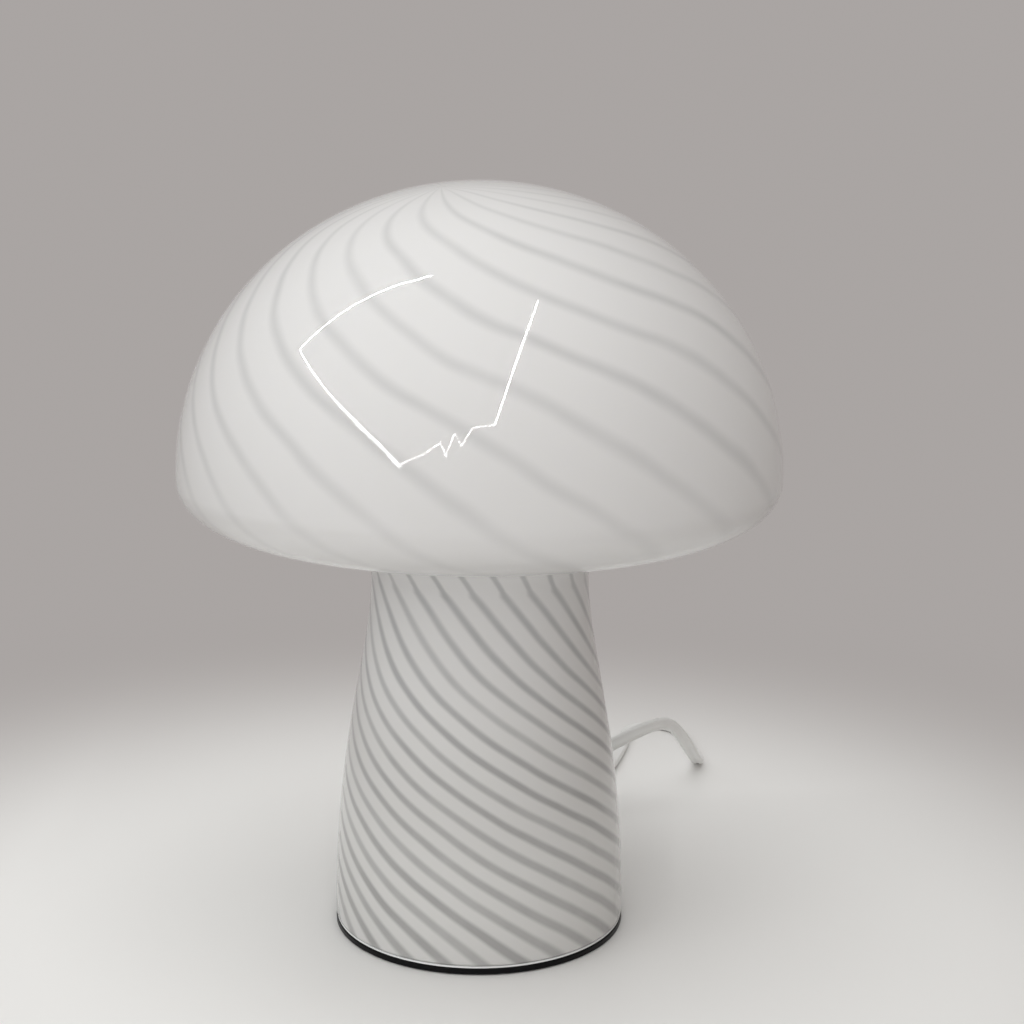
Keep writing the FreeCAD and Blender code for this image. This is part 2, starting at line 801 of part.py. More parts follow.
# from the top of the coil round behind it to the plug
tail_route = [
    (-51.3, 220, 8.9), (-51.7, 230.5, 8.5), (-50.4, 241, 8.1), (-46.4, 250.5, 7.8), (-39.2, 257.7, 7.6),
    (-29.8, plug_y, plug_axis)]


def coil_place(turned):
    """The lead's middle after an angle, spiralling in along the lower layer and out along the upper."""
    half = math.pi * coil_turns
    radius = coil_inner + turn_pitch * abs(turned - half) / (2 * math.pi)
    climb = min(max((turned - half) / math.pi + 0.5, 0.0), 1.0)
    climb = climb * climb * (3 - 2 * climb)
    angle = math.pi - turned
    return Vector(coil_x + radius * math.cos(angle), coil_y + radius * math.sin(angle),
                  coil_low + turn_pitch * climb)


def coil_heading(turned):
    step = 0.001
    half = math.pi * coil_turns
    inward = abs(turned - half) < step
    ahead = coil_place(turned + step)
    behind = coil_place(turned - step)
    heading = (ahead - behind).normalize()
    if inward:
        heading.z = (turn_pitch * 1.5 / math.pi) / coil_inner
        heading.normalize()
    return heading


def biarc(start, start_heading, end, end_heading):
    """Two tangent arcs from one place and heading to another."""
    span = end - start
    both = start_heading + end_heading
    twice = 2 * (1 - start_heading.dot(end_heading))
    along = span.dot(both)
    reach = (-along + math.sqrt(along ** 2 + twice * span.dot(span))) / twice
    first = start + start_heading * reach
    second = end - end_heading * reach
    joint = (first + second) / 2.0
    return [arc_edge(start, first, joint), arc_edge(joint, second, end)]


def coil_wire():
    quarters = 4 * coil_turns
    turns = [math.pi / 2 * k for k in range(quarters + 1)]
    places = [coil_place(turned) for turned in turns]
    headings = [coil_heading(turned) for turned in turns]
    for end in (0, -1):
        headings[end].z = 0
        headings[end].normalize()
    first = places[0] - headings[0] * lead_width
    last = places[-1] + headings[-1] * lead_width
    edges = [Part.LineSegment(first, places[0]).toShape()]
    for k in range(quarters):
        edges += biarc(places[k], headings[k], places[k + 1], headings[k + 1])
    edges.append(Part.LineSegment(places[-1], last).toShape())
    return Part.Wire(edges)


def least_gap(wire):
    """The least clear distance between one turn and another, from points along the wire."""
    points = []
    step = lead_width / 3.0
    for edge in wire.Edges:
        points += edge.discretize(max(2, int(edge.Length / step)))[:-1]
    skip = int(4 * lead_width / step)
    nearest = min((points[i] - points[j]).Length
                  for i in range(len(points)) for j in range(i + skip, len(points)))
    return nearest - lead_width


wound = coil_wire()
coil_entry = wound.Edges[0].valueAt(wound.Edges[0].FirstParameter)
coil_exit = wound.Edges[-1].valueAt(wound.Edges[-1].LastParameter)
tail_plug = (plug_x - plug_boot_length, plug_y, plug_axis)


def coil_tie():
    """A strap around all the turns, at the right of the coil."""
    inner = coil_x + coil_inner - lead_radius - tie_gap - tie_width ** 2 / (8 * (coil_inner - lead_radius))
    outer = coil_x + coil_outer - turn_pitch / 2.0 + lead_radius + tie_gap
    low = coil_low - lead_radius - tie_play
    high = coil_high + lead_radius + tie_play
    half = tie_width / 2.0
    outside = block((inner - tie_thick, coil_y - half, low - tie_thick),
                    (outer + tie_thick, coil_y + half, high + tie_thick))
    outside = rounded(outside, tie_thick, lambda edge: abs(edge.BoundBox.YLength - tie_width) < 0.01)
    return outside.cut(block((inner, coil_y - tie_width, low), (outer, coil_y + tie_width, high)))


# ---------------------------------------------------------------- switch

switch_half = port_height      # the two shells part at the height of the lead
pivot = Vector(switch_x, switch_y, rocker_axis_height)


def switch_box(inset, low, high):
    """The switch's outline with round corners, moved in by the inset, between two heights."""
    half_long = switch_length / 2.0 - inset
    half_wide = switch_width / 2.0 - inset
    shape = block((switch_x - half_long, switch_y - half_wide, low),
                  (switch_x + half_long, switch_y + half_wide, high))
    return rounded(shape, switch_round - inset, upright)


def switch_port():
    return rod(lead_radius + lead_play, Vector(switch_x - switch_length, switch_y, port_height),
               Vector(switch_x + switch_length, switch_y, port_height))


switch_posts = [(switch_x - post_along, switch_y + post_across),
                (switch_x + post_along, switch_y - post_across)]


def switch_bottom():
    shell = switch_box(0, 0, switch_half)
    shell = rounded(shell, switch_lower_round, lambda edge: edge.BoundBox.ZMax < 0.01)
    shell = shell.cut(switch_box(switch_wall, switch_wall, switch_half)).cut(switch_port())
    hole = switch_screw_radius + 2 * screw_gap
    for x, y in switch_posts:
        foot = Vector(x, y, switch_wall)
        shell = shell.fuse(Part.makeCylinder(hole + post_wall, switch_half - switch_wall, foot))
        shell = shell.cut(Part.makeCylinder(hole, switch_half, Vector(x, y, 0)))
        shell = shell.cut(Part.makeCylinder(switch_head_radius + screw_gap, switch_recess, Vector(x, y, 0)))
    return shell.removeSplitter()


def switch_top():
    top = switch_height
    ceiling = top - switch_wall
    shell = switch_box(0, switch_half, top)
    shell = rounded(shell, switch_upper_round, lambda edge: edge.BoundBox.ZMin > top - 0.01)
    shell = shell.cut(switch_box(switch_wall, switch_half, ceiling)).cut(switch_port())
    long_half = rocker_length / 2.0 + rocker_gap
    wide_half = rocker_width / 2.0 + rocker_gap
    inner = wide_half + ear_gap
    ear = block((-ear_length / 2.0, inner, rocker_axis_height - ear_below),
                (ear_length / 2.0, inner + ear_thick, ceiling))
    for turn in (0, 180):
        shell = shell.fuse(moved(around(ear, turn), switch_x, switch_y, 0))
    window = block((switch_x - long_half, switch_y - wide_half, switch_half),
                   (switch_x + long_half, switch_y + wide_half, top))
    shell = shell.cut(window)
    pin_reach = Vector(0, inner + ear_thick, 0)
    shell = shell.cut(rod(rocker_pin_radius + pin_play, pivot - pin_reach, pivot + pin_reach))
    for x, y in switch_posts:
        foot = Vector(x, y, switch_half)
        hole = switch_screw_radius + thread_gap
        shell = shell.fuse(Part.makeCylinder(hole + post_wall, ceiling - switch_half, foot))
        shell = shell.cut(Part.makeCylinder(hole, ceiling - switch_half, foot))
    return shell.removeSplitter()


def tilted(shape):
    """The rocker rests on its off side."""
    shape.rotate(pivot, Vector(0, 1, 0), -rocker_tilt)
    return shape


def switch_rocker():
    half = rocker_length / 2.0
    foot = rocker_foot_share * half
    edge_low = rocker_top - rocker_edge
    outline = [(-half, rocker_top), (0, rocker_top - rocker_dip), (half, rocker_top), (half, edge_low),
               (foot, -rocker_drop), (-foot, -rocker_drop), (-half, edge_low)]
    corners = [pivot + Vector(x, -rocker_width / 2.0, z) for x, z in outline]
    body = Part.Face(Part.makePolygon(corners + corners[:1])).extrude(Vector(0, rocker_width, 0))
    body = rounded(body, rocker_round, lambda edge: edge.CenterOfMass.z > pivot.z + rocker_top - rocker_dip)
    reach = Vector(0, rocker_width, 0)
    return tilted(body.cut(rod(rocker_pin_radius + pin_play, pivot - reach, pivot + reach)))


def rocker_bridge():
    """The brass strip under the rocker that joins the two terminals when it is on."""
    top = pivot.z - rocker_drop
    half_long = bridge_length / 2.0
    half_wide = bridge_width / 2.0
    return tilted(block((switch_x - half_long, switch_y - half_wide, top - bridge_thick),
                        (switch_x + half_long, switch_y + half_wide, top)))


def rocker_pin():
    reach = Vector(0, rocker_width / 2.0 + rocker_gap + ear_gap + ear_thick, 0)
    return rod(rocker_pin_radius, pivot - reach, pivot + reach)


def switch_terminals():
    """Two brass blocks between the ends of the lead and the rocker's strip."""
    far = switch_right - switch_x
    near = far - terminal_length
    half = terminal_width / 2.0
    foot = block((near, -half, switch_wall), (far, half, port_height + terminal_rise))
    arm = block((arm_inner, -arm_width / 2.0, port_height), (near, arm_width / 2.0, port_height + arm_thick))
    piece = foot.fuse(arm).removeSplitter()
    return Part.makeCompound([moved(around(piece, turn), switch_x, switch_y, 0) for turn in (0, 180)])


def switch_screws():
    screws = []
    for x, y in switch_posts:
        head_low = switch_recess - switch_head_thick
        head = Part.makeCylinder(switch_head_radius, switch_head_thick, Vector(x, y, head_low))
        shank = Part.makeCylinder(switch_screw_radius, switch_screw_length, Vector(x, y, switch_recess))
        slot = block((x - switch_head_radius, y - slot_width / 2.0, head_low),
                     (x + switch_head_radius, y + slot_width / 2.0, head_low + switch_head_thick / 2.0))
        screws.append(head.fuse(shank).removeSplitter().cut(slot))
    return Part.makeCompound(screws)


# ---------------------------------------------------------------- plug

def plug_body():
    """The moulded plug with its tapered boot, lying on its flat side."""
    half = plug_width / 2.0
    front = block((plug_x, plug_y - half, 0), (plug_x + plug_length, plug_y + half, plug_thick))
    front = rounded(front, plug_edge_round, lambda edge: abs(edge.BoundBox.XLength - plug_length) < 0.01)
    front = rounded(front, plug_rear_round, lambda edge: edge.BoundBox.XMax < plug_x + 0.01)
    boot = Part.makeCone(lead_radius + plug_boot_wall, plug_boot_radius, plug_boot_length,
                         Vector(plug_x - plug_boot_length, plug_y, plug_axis), Vector(1, 0, 0))
    body = front.fuse(boot).removeSplitter()
    for place in blade_places():
        body = body.cut(blade(place, blade_play))
    return body


def blade_places():
    return [plug_y - blade_spacing / 2.0, plug_y + blade_spacing / 2.0]


def blade(y, play):
    start = plug_x + plug_length - blade_root - play
    half_thick = blade_thick / 2.0 + play
    half_wide = blade_width / 2.0 + play
    return block((start, y - half_thick, plug_axis - half_wide),
                 (blade_tip, y + half_thick, plug_axis + half_wide))


def plug_blades():
    blades = []
    for place in blade_places():
        shape = blade(place, 0)
        end = [edge for edge in shape.Edges if edge.BoundBox.XMin > blade_tip - 0.01]
        shape = shape.makeChamfer(blade_bevel, end)
        hole_at = blade_tip - blade_hole_from_tip
        hole = rod(blade_hole_radius, Vector(hole_at, place - blade_thick, plug_axis),
                   Vector(hole_at, place + blade_thick, plug_axis))
        blades.append(shape.cut(hole))
    return Part.makeCompound(blades)


# ---------------------------------------------------------------- all pieces, each to its own file

pieces = {
    "glass_body": glass_body(),
    "glass_gasket": glass_gasket(),
    "base_plate": base_plate(),
    "foot_pad": foot_pad(),
    "clip_sleeves": group(clip_sleeve()),
    "clip_screws": group(clip_screw()),
    "clip_nuts": group(clip_nut()),
    "threaded_tube": threaded_tube(),
    "lower_nut": hexagon(nut_width, nut_bore, lower_nut_top - nut_thick, lower_nut_top),
    "lock_washer": lock_washer(),
    "flat_washer": ring(tube_radius + 2 * thread_gap, washer_radius, cup_top, cup_top + washer_thick),
    "upper_nut": hexagon(nut_width, nut_bore, cup_top + washer_thick, holder_foot),
    "holder_cap": holder_cap(),
    "holder_lock_screw": lock_screw(),
    "holder_skirt": holder_skirt(),
    "holder_core": holder_core(),
    "holder_screw_shell": screw_shell(),
    "holder_tip_contact": tip_contact(),
    "terminal_screws": terminal_screws(),
    "holder_wires": holder_wires(),
    "bulb_tip": bulb_tip(),
    "bulb_insulator": bulb_insulator(),
    "bulb_screw_cap": bulb_screw_cap(),
    "bulb_housing": bulb_housing(),
    "bulb_globe": bulb_globe(),
    "led_board": led_board(),
    "led_chips": led_chips(),
    "driver_board": driver_board(),
    "driver_capacitor": driver_capacitor(),
    "inner_lead": inner_lead(),
    "strain_relief": strain_relief(),
    "outer_lead": routed_tube("outer_lead", lead_route, lead_radius),
    "switch_bottom": switch_bottom(),
    "switch_top": switch_top(),
    "switch_rocker": switch_rocker(),
    "rocker_bridge": rocker_bridge(),
    "rocker_pin": rocker_pin(),
    "switch_terminals": switch_terminals(),
    "switch_screws": switch_screws(),
    "feed_lead": routed_tube("feed_lead", feed_route + [tuple(coil_entry)], lead_radius),
    "coiled_lead": tube("coiled_lead", wound, lead_radius),
    "coil_tie": coil_tie(),
    "plug_lead": routed_tube("plug_lead", [tuple(coil_exit)] + tail_route + [tail_plug], lead_radius),
    "plug_body": plug_body(),
    "plug_blades": plug_blades(),
}
for number, turn in enumerate(clip_turns(), 1):
    pieces["clip_spring_" + str(number)] = around(clip_spring(), turn)

print("least gap between turns of the coil", round(least_gap(wound), 2))

os.makedirs("parts", exist_ok=True)
for name, shape in pieces.items():
    if not shape.isValid():
        print("not valid:", name)
    shape.exportStep("parts/" + name + ".step")
print(len(pieces), "pieces")
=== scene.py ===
# Mushroom table lamp: swirled opal glass on a black base, with its bulb, rocker switch and lead
import math
import bpy
from mathutils import Matrix, Vector


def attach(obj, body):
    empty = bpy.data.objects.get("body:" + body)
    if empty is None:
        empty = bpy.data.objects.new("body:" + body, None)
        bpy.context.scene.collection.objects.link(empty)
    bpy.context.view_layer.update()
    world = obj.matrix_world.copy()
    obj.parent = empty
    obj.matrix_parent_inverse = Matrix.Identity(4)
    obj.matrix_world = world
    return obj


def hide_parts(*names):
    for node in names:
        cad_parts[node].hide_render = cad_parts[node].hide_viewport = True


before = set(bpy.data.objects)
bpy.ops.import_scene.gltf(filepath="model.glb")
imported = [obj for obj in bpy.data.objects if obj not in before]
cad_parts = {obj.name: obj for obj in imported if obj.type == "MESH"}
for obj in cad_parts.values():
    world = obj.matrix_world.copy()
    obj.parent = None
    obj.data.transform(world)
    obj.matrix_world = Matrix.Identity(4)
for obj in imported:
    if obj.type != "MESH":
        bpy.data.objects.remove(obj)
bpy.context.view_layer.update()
scene = bpy.context.scene
scene.view_settings.view_transform = "Standard"
print("frame loaded:", len(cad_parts), "parts")


# camera, as the photograph was taken

photoView = {
    "place": (0.0, -0.59028, 0.26054),
    "down": 0.19678,     # radians below level
    "turn": 0.01799,     # to the right
    "lean": 0.006,       # right side up
    "lens": 63.28,       # mm
    "sensor": 36.0,      # mm across the picture
    "clip": (0.01, 30.0),
}


def placeCamera(view):
    camera = bpy.data.cameras.new("photoCamera")
    camera.lens = view["lens"]
    camera.sensor_width = view["sensor"]
    camera.clip_start, camera.clip_end = view["clip"]
    holder = bpy.data.objects.new("photoCamera", camera)
    scene.collection.objects.link(holder)
    ahead = Vector((math.sin(view["turn"]) * math.cos(view["down"]),
                    math.cos(view["turn"]) * math.cos(view["down"]), -math.sin(view["down"])))
    side = Vector((math.cos(view["turn"]), -math.sin(view["turn"]), 0.0))
    over = side.cross(ahead)
    leanSide = side * math.cos(view["lean"]) + over * math.sin(view["lean"])
    leanOver = over * math.cos(view["lean"]) - side * math.sin(view["lean"])
    turned = Matrix((leanSide, leanOver, -ahead)).transposed()
    holder.matrix_world = Matrix.Translation(view["place"]) @ turned.to_4x4()
    scene.camera = holder


placeCamera(photoView)
print("camera placed")


# small helpers for meshes

def meshPiece(name, points, faces, body, smooth=True):
    mesh = bpy.data.meshes.new(name)
    mesh.from_pydata(points, [], faces)
    mesh.validate()
    mesh.polygons.foreach_set("use_smooth", [smooth] * len(mesh.polygons))
    piece = bpy.data.objects.new(name, mesh)
    scene.collection.objects.link(piece)
    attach(piece, body)
    return piece


# quads between each ring of points and the next
def ringFaces(rings, around, start=0, inward=False):
    faces = []
    for k in range(rings - 1):
        for j in range(around):
            a, b = start + k * around + j, start + k * around + (j + 1) % around
            face = (a, b, b + around, a + around)
            faces.append(face[::-1] if inward else face)
    return faces


def addSpline(curve, route):
    spline = curve.splines.new("NURBS")
    spline.points.add(len(route) - 1)
    for knot, place in zip(spline.points, route):
        knot.co = (*place, 1.0)
    spline.order_u = 3
    spline.use_endpoint_u = True


def curveMesh(curve):
    holder = bpy.data.objects.new("route", curve)
    mesh = bpy.data.meshes.new_from_object(holder)
    bpy.data.objects.remove(holder)
    return mesh


# points of the smooth line that a NURBS spline draws by the points of the route
def splineLine(route, steps=6):
    curve = bpy.data.curves.new("route", "CURVE")
    curve.dimensions = "3D"
    curve.resolution_u = steps
    addSpline(curve, route)
    mesh = curveMesh(curve)
    line = [vertex.co.copy() for vertex in mesh.vertices]
    bpy.data.meshes.remove(mesh)
    return line


# value at a place along a list of (place, value), eased through the keys
def between(keys, at):
    if at <= keys[0][0]:
        return keys[0][1]
    for k in range(len(keys) - 1):
        (a, low), (b, high) = keys[k], keys[k + 1]
        if at <= b:
            slope = (high - low) / (b - a)
            before = after = slope
            if k > 0:
                before = (low - keys[k - 1][1]) / (a - keys[k - 1][0])
            if k + 2 < len(keys):
                after = (keys[k + 2][1] - high) / (keys[k + 2][0] - b)
            startSlope = 0.5 * (before + slope) if before * slope > 0 else 0.0
            endSlope = 0.5 * (after + slope) if after * slope > 0 else 0.0
            t = (at - a) / (b - a)
            return (low * (1 + 2 * t) * (1 - t) ** 2 + high * t * t * (3 - 2 * t)
                    + (b - a) * t * (1 - t) * (startSlope * (1 - t) - endSlope * t))
    return keys[-1][1]


# the flat twin lead

leadSizes = {
    "core": 0.00135,      # radius of each of the two rounded halves
    "apart": 0.0012,      # of each half from the middle
    "groove": 0.00104,    # half height between the halves
    "rounded": 104,       # degrees that each half's arc goes up and down from level
    "arcPoints": 9,
}

lampRoute = [    # from the strain relief in a springy arch beside the stem, and back to the switch
    (0, .070, .008), (0, .0785, .008), (.0032, .0875, .0092), (.0102, .0943, .0116), (.0205, .0976, .015),
    (.0325, .0984, .019), (.045, .0986, .024), (.057, .1004, .0296), (.068, .1052, .0336),
    (.0768, .1138, .0328), (.0832, .1242, .0246), (.0886, .135, .0142), (.0936, .1464, .0045),
    (.0954, .158, .0015), (.0943, .1698, .0015), (.0931, .1815, .0015), (.092, .1926, .0015),
    (.0896, .1996, .0015), (.0846, .2042, .0015), (.0778, .2054, .0015), (.0712, .2028, .0015),
    (.0672, .197, .0015), (.0658, .1885, .0015), (.064, .1785, .0015), (.0616, .168, .0015),
    (.0588, .1575, .0015), (.0558, .147, .0018), (.0514, .138, .003), (.044, .1312, .0052),
    (.0345, .1284, .007), (.0282, .128, .0076), (.021, .128, .0076)]

feedRoute = [    # from the switch round to the coil
    (-.017, .128, .0076), (-.0265, .128, .0076), (-.038, .1302, .0052), (-.0466, .1382, .0024),
    (-.051, .149, .0015), (-.0523, .1615, .0015), (-.0516, .174, .0015), (-.0509, .1875, .0022)]

coilShape = {
    "middle": (-.012, .205),
    "turns": 7,
    "inner": 0.0192,
    "pitch": 0.0056,
    "low": 0.0025,
    "layer": 0.00272,
    "pointsPerTurn": 16,
}

tailRoute = [    # from the top of the coil round behind it to the plug
    (-.0508, .2101, .0053), (-.0513, .220, .0053), (-.0517, .2305, .0055), (-.0504, .241, .006),
    (-.0464, .2505, .0066), (-.0392, .2577, .0071), (-.0298, .2615, .0075), (-.020, .2615, .0075)]


def coilPoints(shape):
    points = []
    half = math.pi * shape["turns"]
    count = shape["turns"] * shape["pointsPerTurn"]
    # the spline runs inside its points
    spread = 1.0 / math.cos(math.pi / shape["pointsPerTurn"]) ** 2
    for k in range(count + 1):
        turned = 2 * half * k / count
        radius = (shape["inner"] + shape["pitch"] * abs(turned - half) / (2 * math.pi)) * spread
        climb = min(max((turned - half) / math.pi + 0.5, 0.0), 1.0)
        climb = climb * climb * (3 - 2 * climb)
        points.append((shape["middle"][0] + radius * math.cos(math.pi - turned),
                       shape["middle"][1] + radius * math.sin(math.pi - turned),
                       shape["low"] + shape["layer"] * climb))
    return points


def flatOutline(sizes):
    outline = []
    for side in (1, -1):
        for k in range(sizes["arcPoints"]):
            angle = math.radians(sizes["rounded"] * (2 * k / (sizes["arcPoints"] - 1) - 1))
            outline.append((side * (sizes["apart"] + sizes["core"] * math.cos(angle)),
                            side * sizes["core"] * math.sin(angle)))
        outline.append((0.0, side * sizes["groove"]))
    return outline


# the twin lead swept along a line; rolls are (distance along it in metres, degrees)
def flatFlex(name, line, sizes, rolls):
    outline = flatOutline(sizes)
    points = []
    travelled = 0.0
    for k, place in enumerate(line):
        ahead = (line[min(k + 1, len(line) - 1)] - line[max(k - 1, 0)]).normalized()
        if k > 0:
            travelled += (place - line[k - 1]).length
        over = (Vector((0, 0, 1)) - ahead * ahead.z).normalized()
        over = Matrix.Rotation(math.radians(between(rolls, travelled)), 3, ahead) @ over
        side = ahead.cross(over)
        points += [place + side * x + over * y for x, y in outline]
    around = len(outline)
    faces = ringFaces(len(line), around)
    faces.append(tuple(range(around))[::-1])
    faces.append(tuple(range((len(line) - 1) * around, len(line) * around)))
    return meshPiece(name, points, faces, "lamp_base")


lampRolls = [(0, 0), (0.02, 0), (0.05, 55), (0.085, 62), (0.115, 100), (0.15, 180), (0.33, 180)]
noRolls = [(0, 0), (1, 0)]
lampLine = splineLine(lampRoute)
lampFlex = flatFlex("leadToSwitch", lampLine, leadSizes, lampRolls)
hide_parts("outer_lead")

plugLine = splineLine(feedRoute + coilPoints(coilShape) + tailRoute)
plugFlex = flatFlex("leadToPlug", plugLine, leadSizes, noRolls)
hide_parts("feed_lead", "coiled_lead", "plug_lead")


def lineLength(line):
    return sum((line[k + 1] - line[k]).length for k in range(len(line) - 1))


print("leads swept:", round(lineLength(lampLine), 3), "and", round(lineLength(plugLine), 3), "m")


# strap that ties the coil

strapSizes = {
    "near": 0.0152,      # from the coil's middle, where it passes inside the turns
    "far": 0.0424,       # and outside them
    "bottom": 0.00005,
    "top": 0.0069,       # of the turns under it
    "width": 0.008,
    "thick": 0.0008,
    "corner": 0.0022,
    "cornerSteps": 6,
    # its end along the top: from the coil's middle, and thicknesses above the loop
    "tuck": [(0.0364, 0.9), (0.0232, 1.05), (0.0202, 1.2)],
}


# a woven strap pulled round all the turns, with its end tucked along the top
def strapLoop(sizes):
    middle = Vector((*coilShape["middle"], 0))
    corner, thick, half = sizes["corner"], sizes["thick"], sizes["width"] / 2
    left, right = sizes["near"] + corner, sizes["far"] - corner
    high = sizes["top"] + thick
    low, top = sizes["bottom"] + corner, high - corner
    centre = []
    for x, z, start in ((left, top, 90), (left, low, 180), (right, low, 270), (right, top, 0)):
        for k in range(sizes["cornerSteps"] + 1):
            angle = math.radians(start + 90 * k / sizes["cornerSteps"])
            outX, outZ = math.cos(angle), math.sin(angle)
            centre.append((x + corner * outX, z + corner * outZ, outX, outZ))
    tucked = [(x, high + thick * layers, 0, 1) for x, layers in sizes["tuck"]]
    points, faces = [], []
    for row in (centre + [centre[0]], [centre[-2], *tucked]):
        start = len(points)
        for x, z, outX, outZ in row:
            for across, out in ((-half, 0), (half, 0), (half, -thick), (-half, -thick)):
                points.append(middle + Vector((x + outX * out, across, z + outZ * out)))
        faces += ringFaces(len(row), 4, start)
    last = len(points) - 4    # the tucked end is closed at both ends
    faces += [(start + 3, start + 2, start + 1, start), (last, last + 1, last + 2, last + 3)]
    return meshPiece("coilStrap", points, faces, "lamp_base", smooth=False)


strap = strapLoop(strapSizes)
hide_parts("coil_tie")

print("coil tied")


# the lead inside the lamp, and its two wires in the holder

wireShape = {
    "radius": 0.0009,
    "steps": 8,
    "rounds": 4,
    "routes": [[(-.0013, 0, .0415), (-.0013, 0, .0445), (-.0108, 0, .0468), (-.0108, 0, .0525)],
               [(.0013, 0, .0415), (.0013, 0, .0445), (.0052, 0, .0468), (.0052, 0, .0525)]],
}


def roundWires(name, shape):
    curve = bpy.data.curves.new(name, "CURVE")
    curve.dimensions = "3D"
    curve.resolution_u = shape["steps"]
    curve.bevel_depth = shape["radius"]
    curve.bevel_resolution = shape["rounds"]
    curve.use_fill_caps = True
    for route in shape["routes"]:
        addSpline(curve, route)
    mesh = curveMesh(curve)
    mesh.polygons.foreach_set("use_smooth", [True] * len(mesh.polygons))
    wires = bpy.data.objects.new(name, mesh)
    scene.collection.objects.link(wires)
    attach(wires, "lamp_base")
    return wires


innerRoute = [(0, .070, .008), (0, .050, .008), (0, .030, .008), (0, .016, .0082), (0, .006, .0098),
              (0, .0012, .0145), (0, 0, .021), (0, 0, .030), (0, 0, .0421)]
innerFlex = flatFlex("leadInLamp", splineLine(innerRoute), leadSizes, noRolls)
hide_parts("inner_lead")

holderWires = roundWires("holderWires", wireShape)
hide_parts("holder_wires")
print("lead and wires laid inside the lamp")


# the blown glass: cap and stem in one

glassShape = {
    "footRadius": 0.0496, "footHeight": 0.00305, "edgeRound": 0.0009, "footPull": 0.0604,
    "neckRadius": 0.03665, "neckHeight": 0.1223, "neckPull": 0.0264,
    "underRadius": 0.060, "underHeight": 0.1425, "lipRadius": 0.073, "lipHeight": 0.139,
    "capRadius": 0.100, "widest": 0.1565, "crown": 0.2522, "wall": 0.003,
    "mouthWidth": 0.0104, "mouthHeight": 0.0104,
    "flareUp": 0.7, "flareOut": 0.5,    # how far the curve from neck to cap is pulled, as shares
    "columns": 288,
}

glassRings = {    # rings of points in each stretch, from the foot up
    "edge": 4, "mouth": 6, "arch": 12, "stem": 64, "flare": 22, "under": 10, "lip": 26, "dome": 90,
    "stemLine": 400,    # points that the stem's curve is read from
}

stripes = {
    "count": 24,
    # height above the table in mm, and the way round of one grey stripe in degrees
    "stem": [(0, 7), (12, -11), (40, -61), (68, -115), (95, -162), (122.3, -198)],
    # distance up the cap from the bottom of its lip in mm, and the same stripe's way round
    "cap": [(-48.4, -198), (-36, -208), (0, -212), (10, -213.3), (40, -230.5), (70, -248),
            (100, -270), (130, -287.5), (160, -300), (190, -305)],
    "pole": (-21.8, -4.8),       # mm off the lamp's axis, where the twisted crown lies
    "poleFrom": 10, "poleReach": 178.6, "poleEase": 0.2,
    "topPole": (-11.0, -20.0),   # and where the stripes meet at last
    "topFrom": 120, "topReach": 65,
    "slant": 1.44,
    # by the same heights and distances: half width and soft edge, in stripes, and how grey they are
    "stemWidth": [(0, 0.21), (30, 0.20), (60, 0.17), (122, 0.15)],
    "stemEdge": [(0, 0.13), (60, 0.12), (122, 0.13)],
    "capWidth": 0.10,
    "capEdge": [(-30, 0.07), (0, 0.1), (60, 0.11), (188, 0.16)],
    "capGrey": [(-40, 0.9), (0, 0.24), (30, 0.20), (48, 0.40), (100, 0.54), (140, 0.46), (175, 0.24),
                (188, 0.06)],
    # how much painted shade darkens the glass towards its shaded white and grey: most on the stem under
    # the cap, darker towards the foot, and a little low on the cap
    "stemPaintedShade": [(3, 1.0), (60, 0.8), (100, 0.25), (122, 0.0)],
    "capPaintedShade": [(-46, 0.0), (-10, 0.05), (10, 0.16), (60, 0.05), (120, 0.0)],
}


def bend(poles, count):
    points = []
    for k in range(count):
        t = k / count
        weights = ((1 - t) ** 3, 3 * t * (1 - t) ** 2, 3 * t * t * (1 - t), t ** 3)
        points.append((sum(w * p[0] for w, p in zip(weights, poles)),
                       sum(w * p[1] for w, p in zip(weights, poles))))
    return points


def quarter(start, corner, end, count, last=False):
    points = []
    for k in range(count + (1 if last else 0)):
        t = math.pi / 2 * k / count
        points.append(tuple(corner[i] + (start[i] - corner[i]) * (1 - math.sin(t))
                            + (end[i] - corner[i]) * (1 - math.cos(t)) for i in (0, 1)))
    return points


def archFoot(shape):    # where the mouth's straight sides end
    return shape["footHeight"] + shape["mouthHeight"] - shape["mouthWidth"] / 2


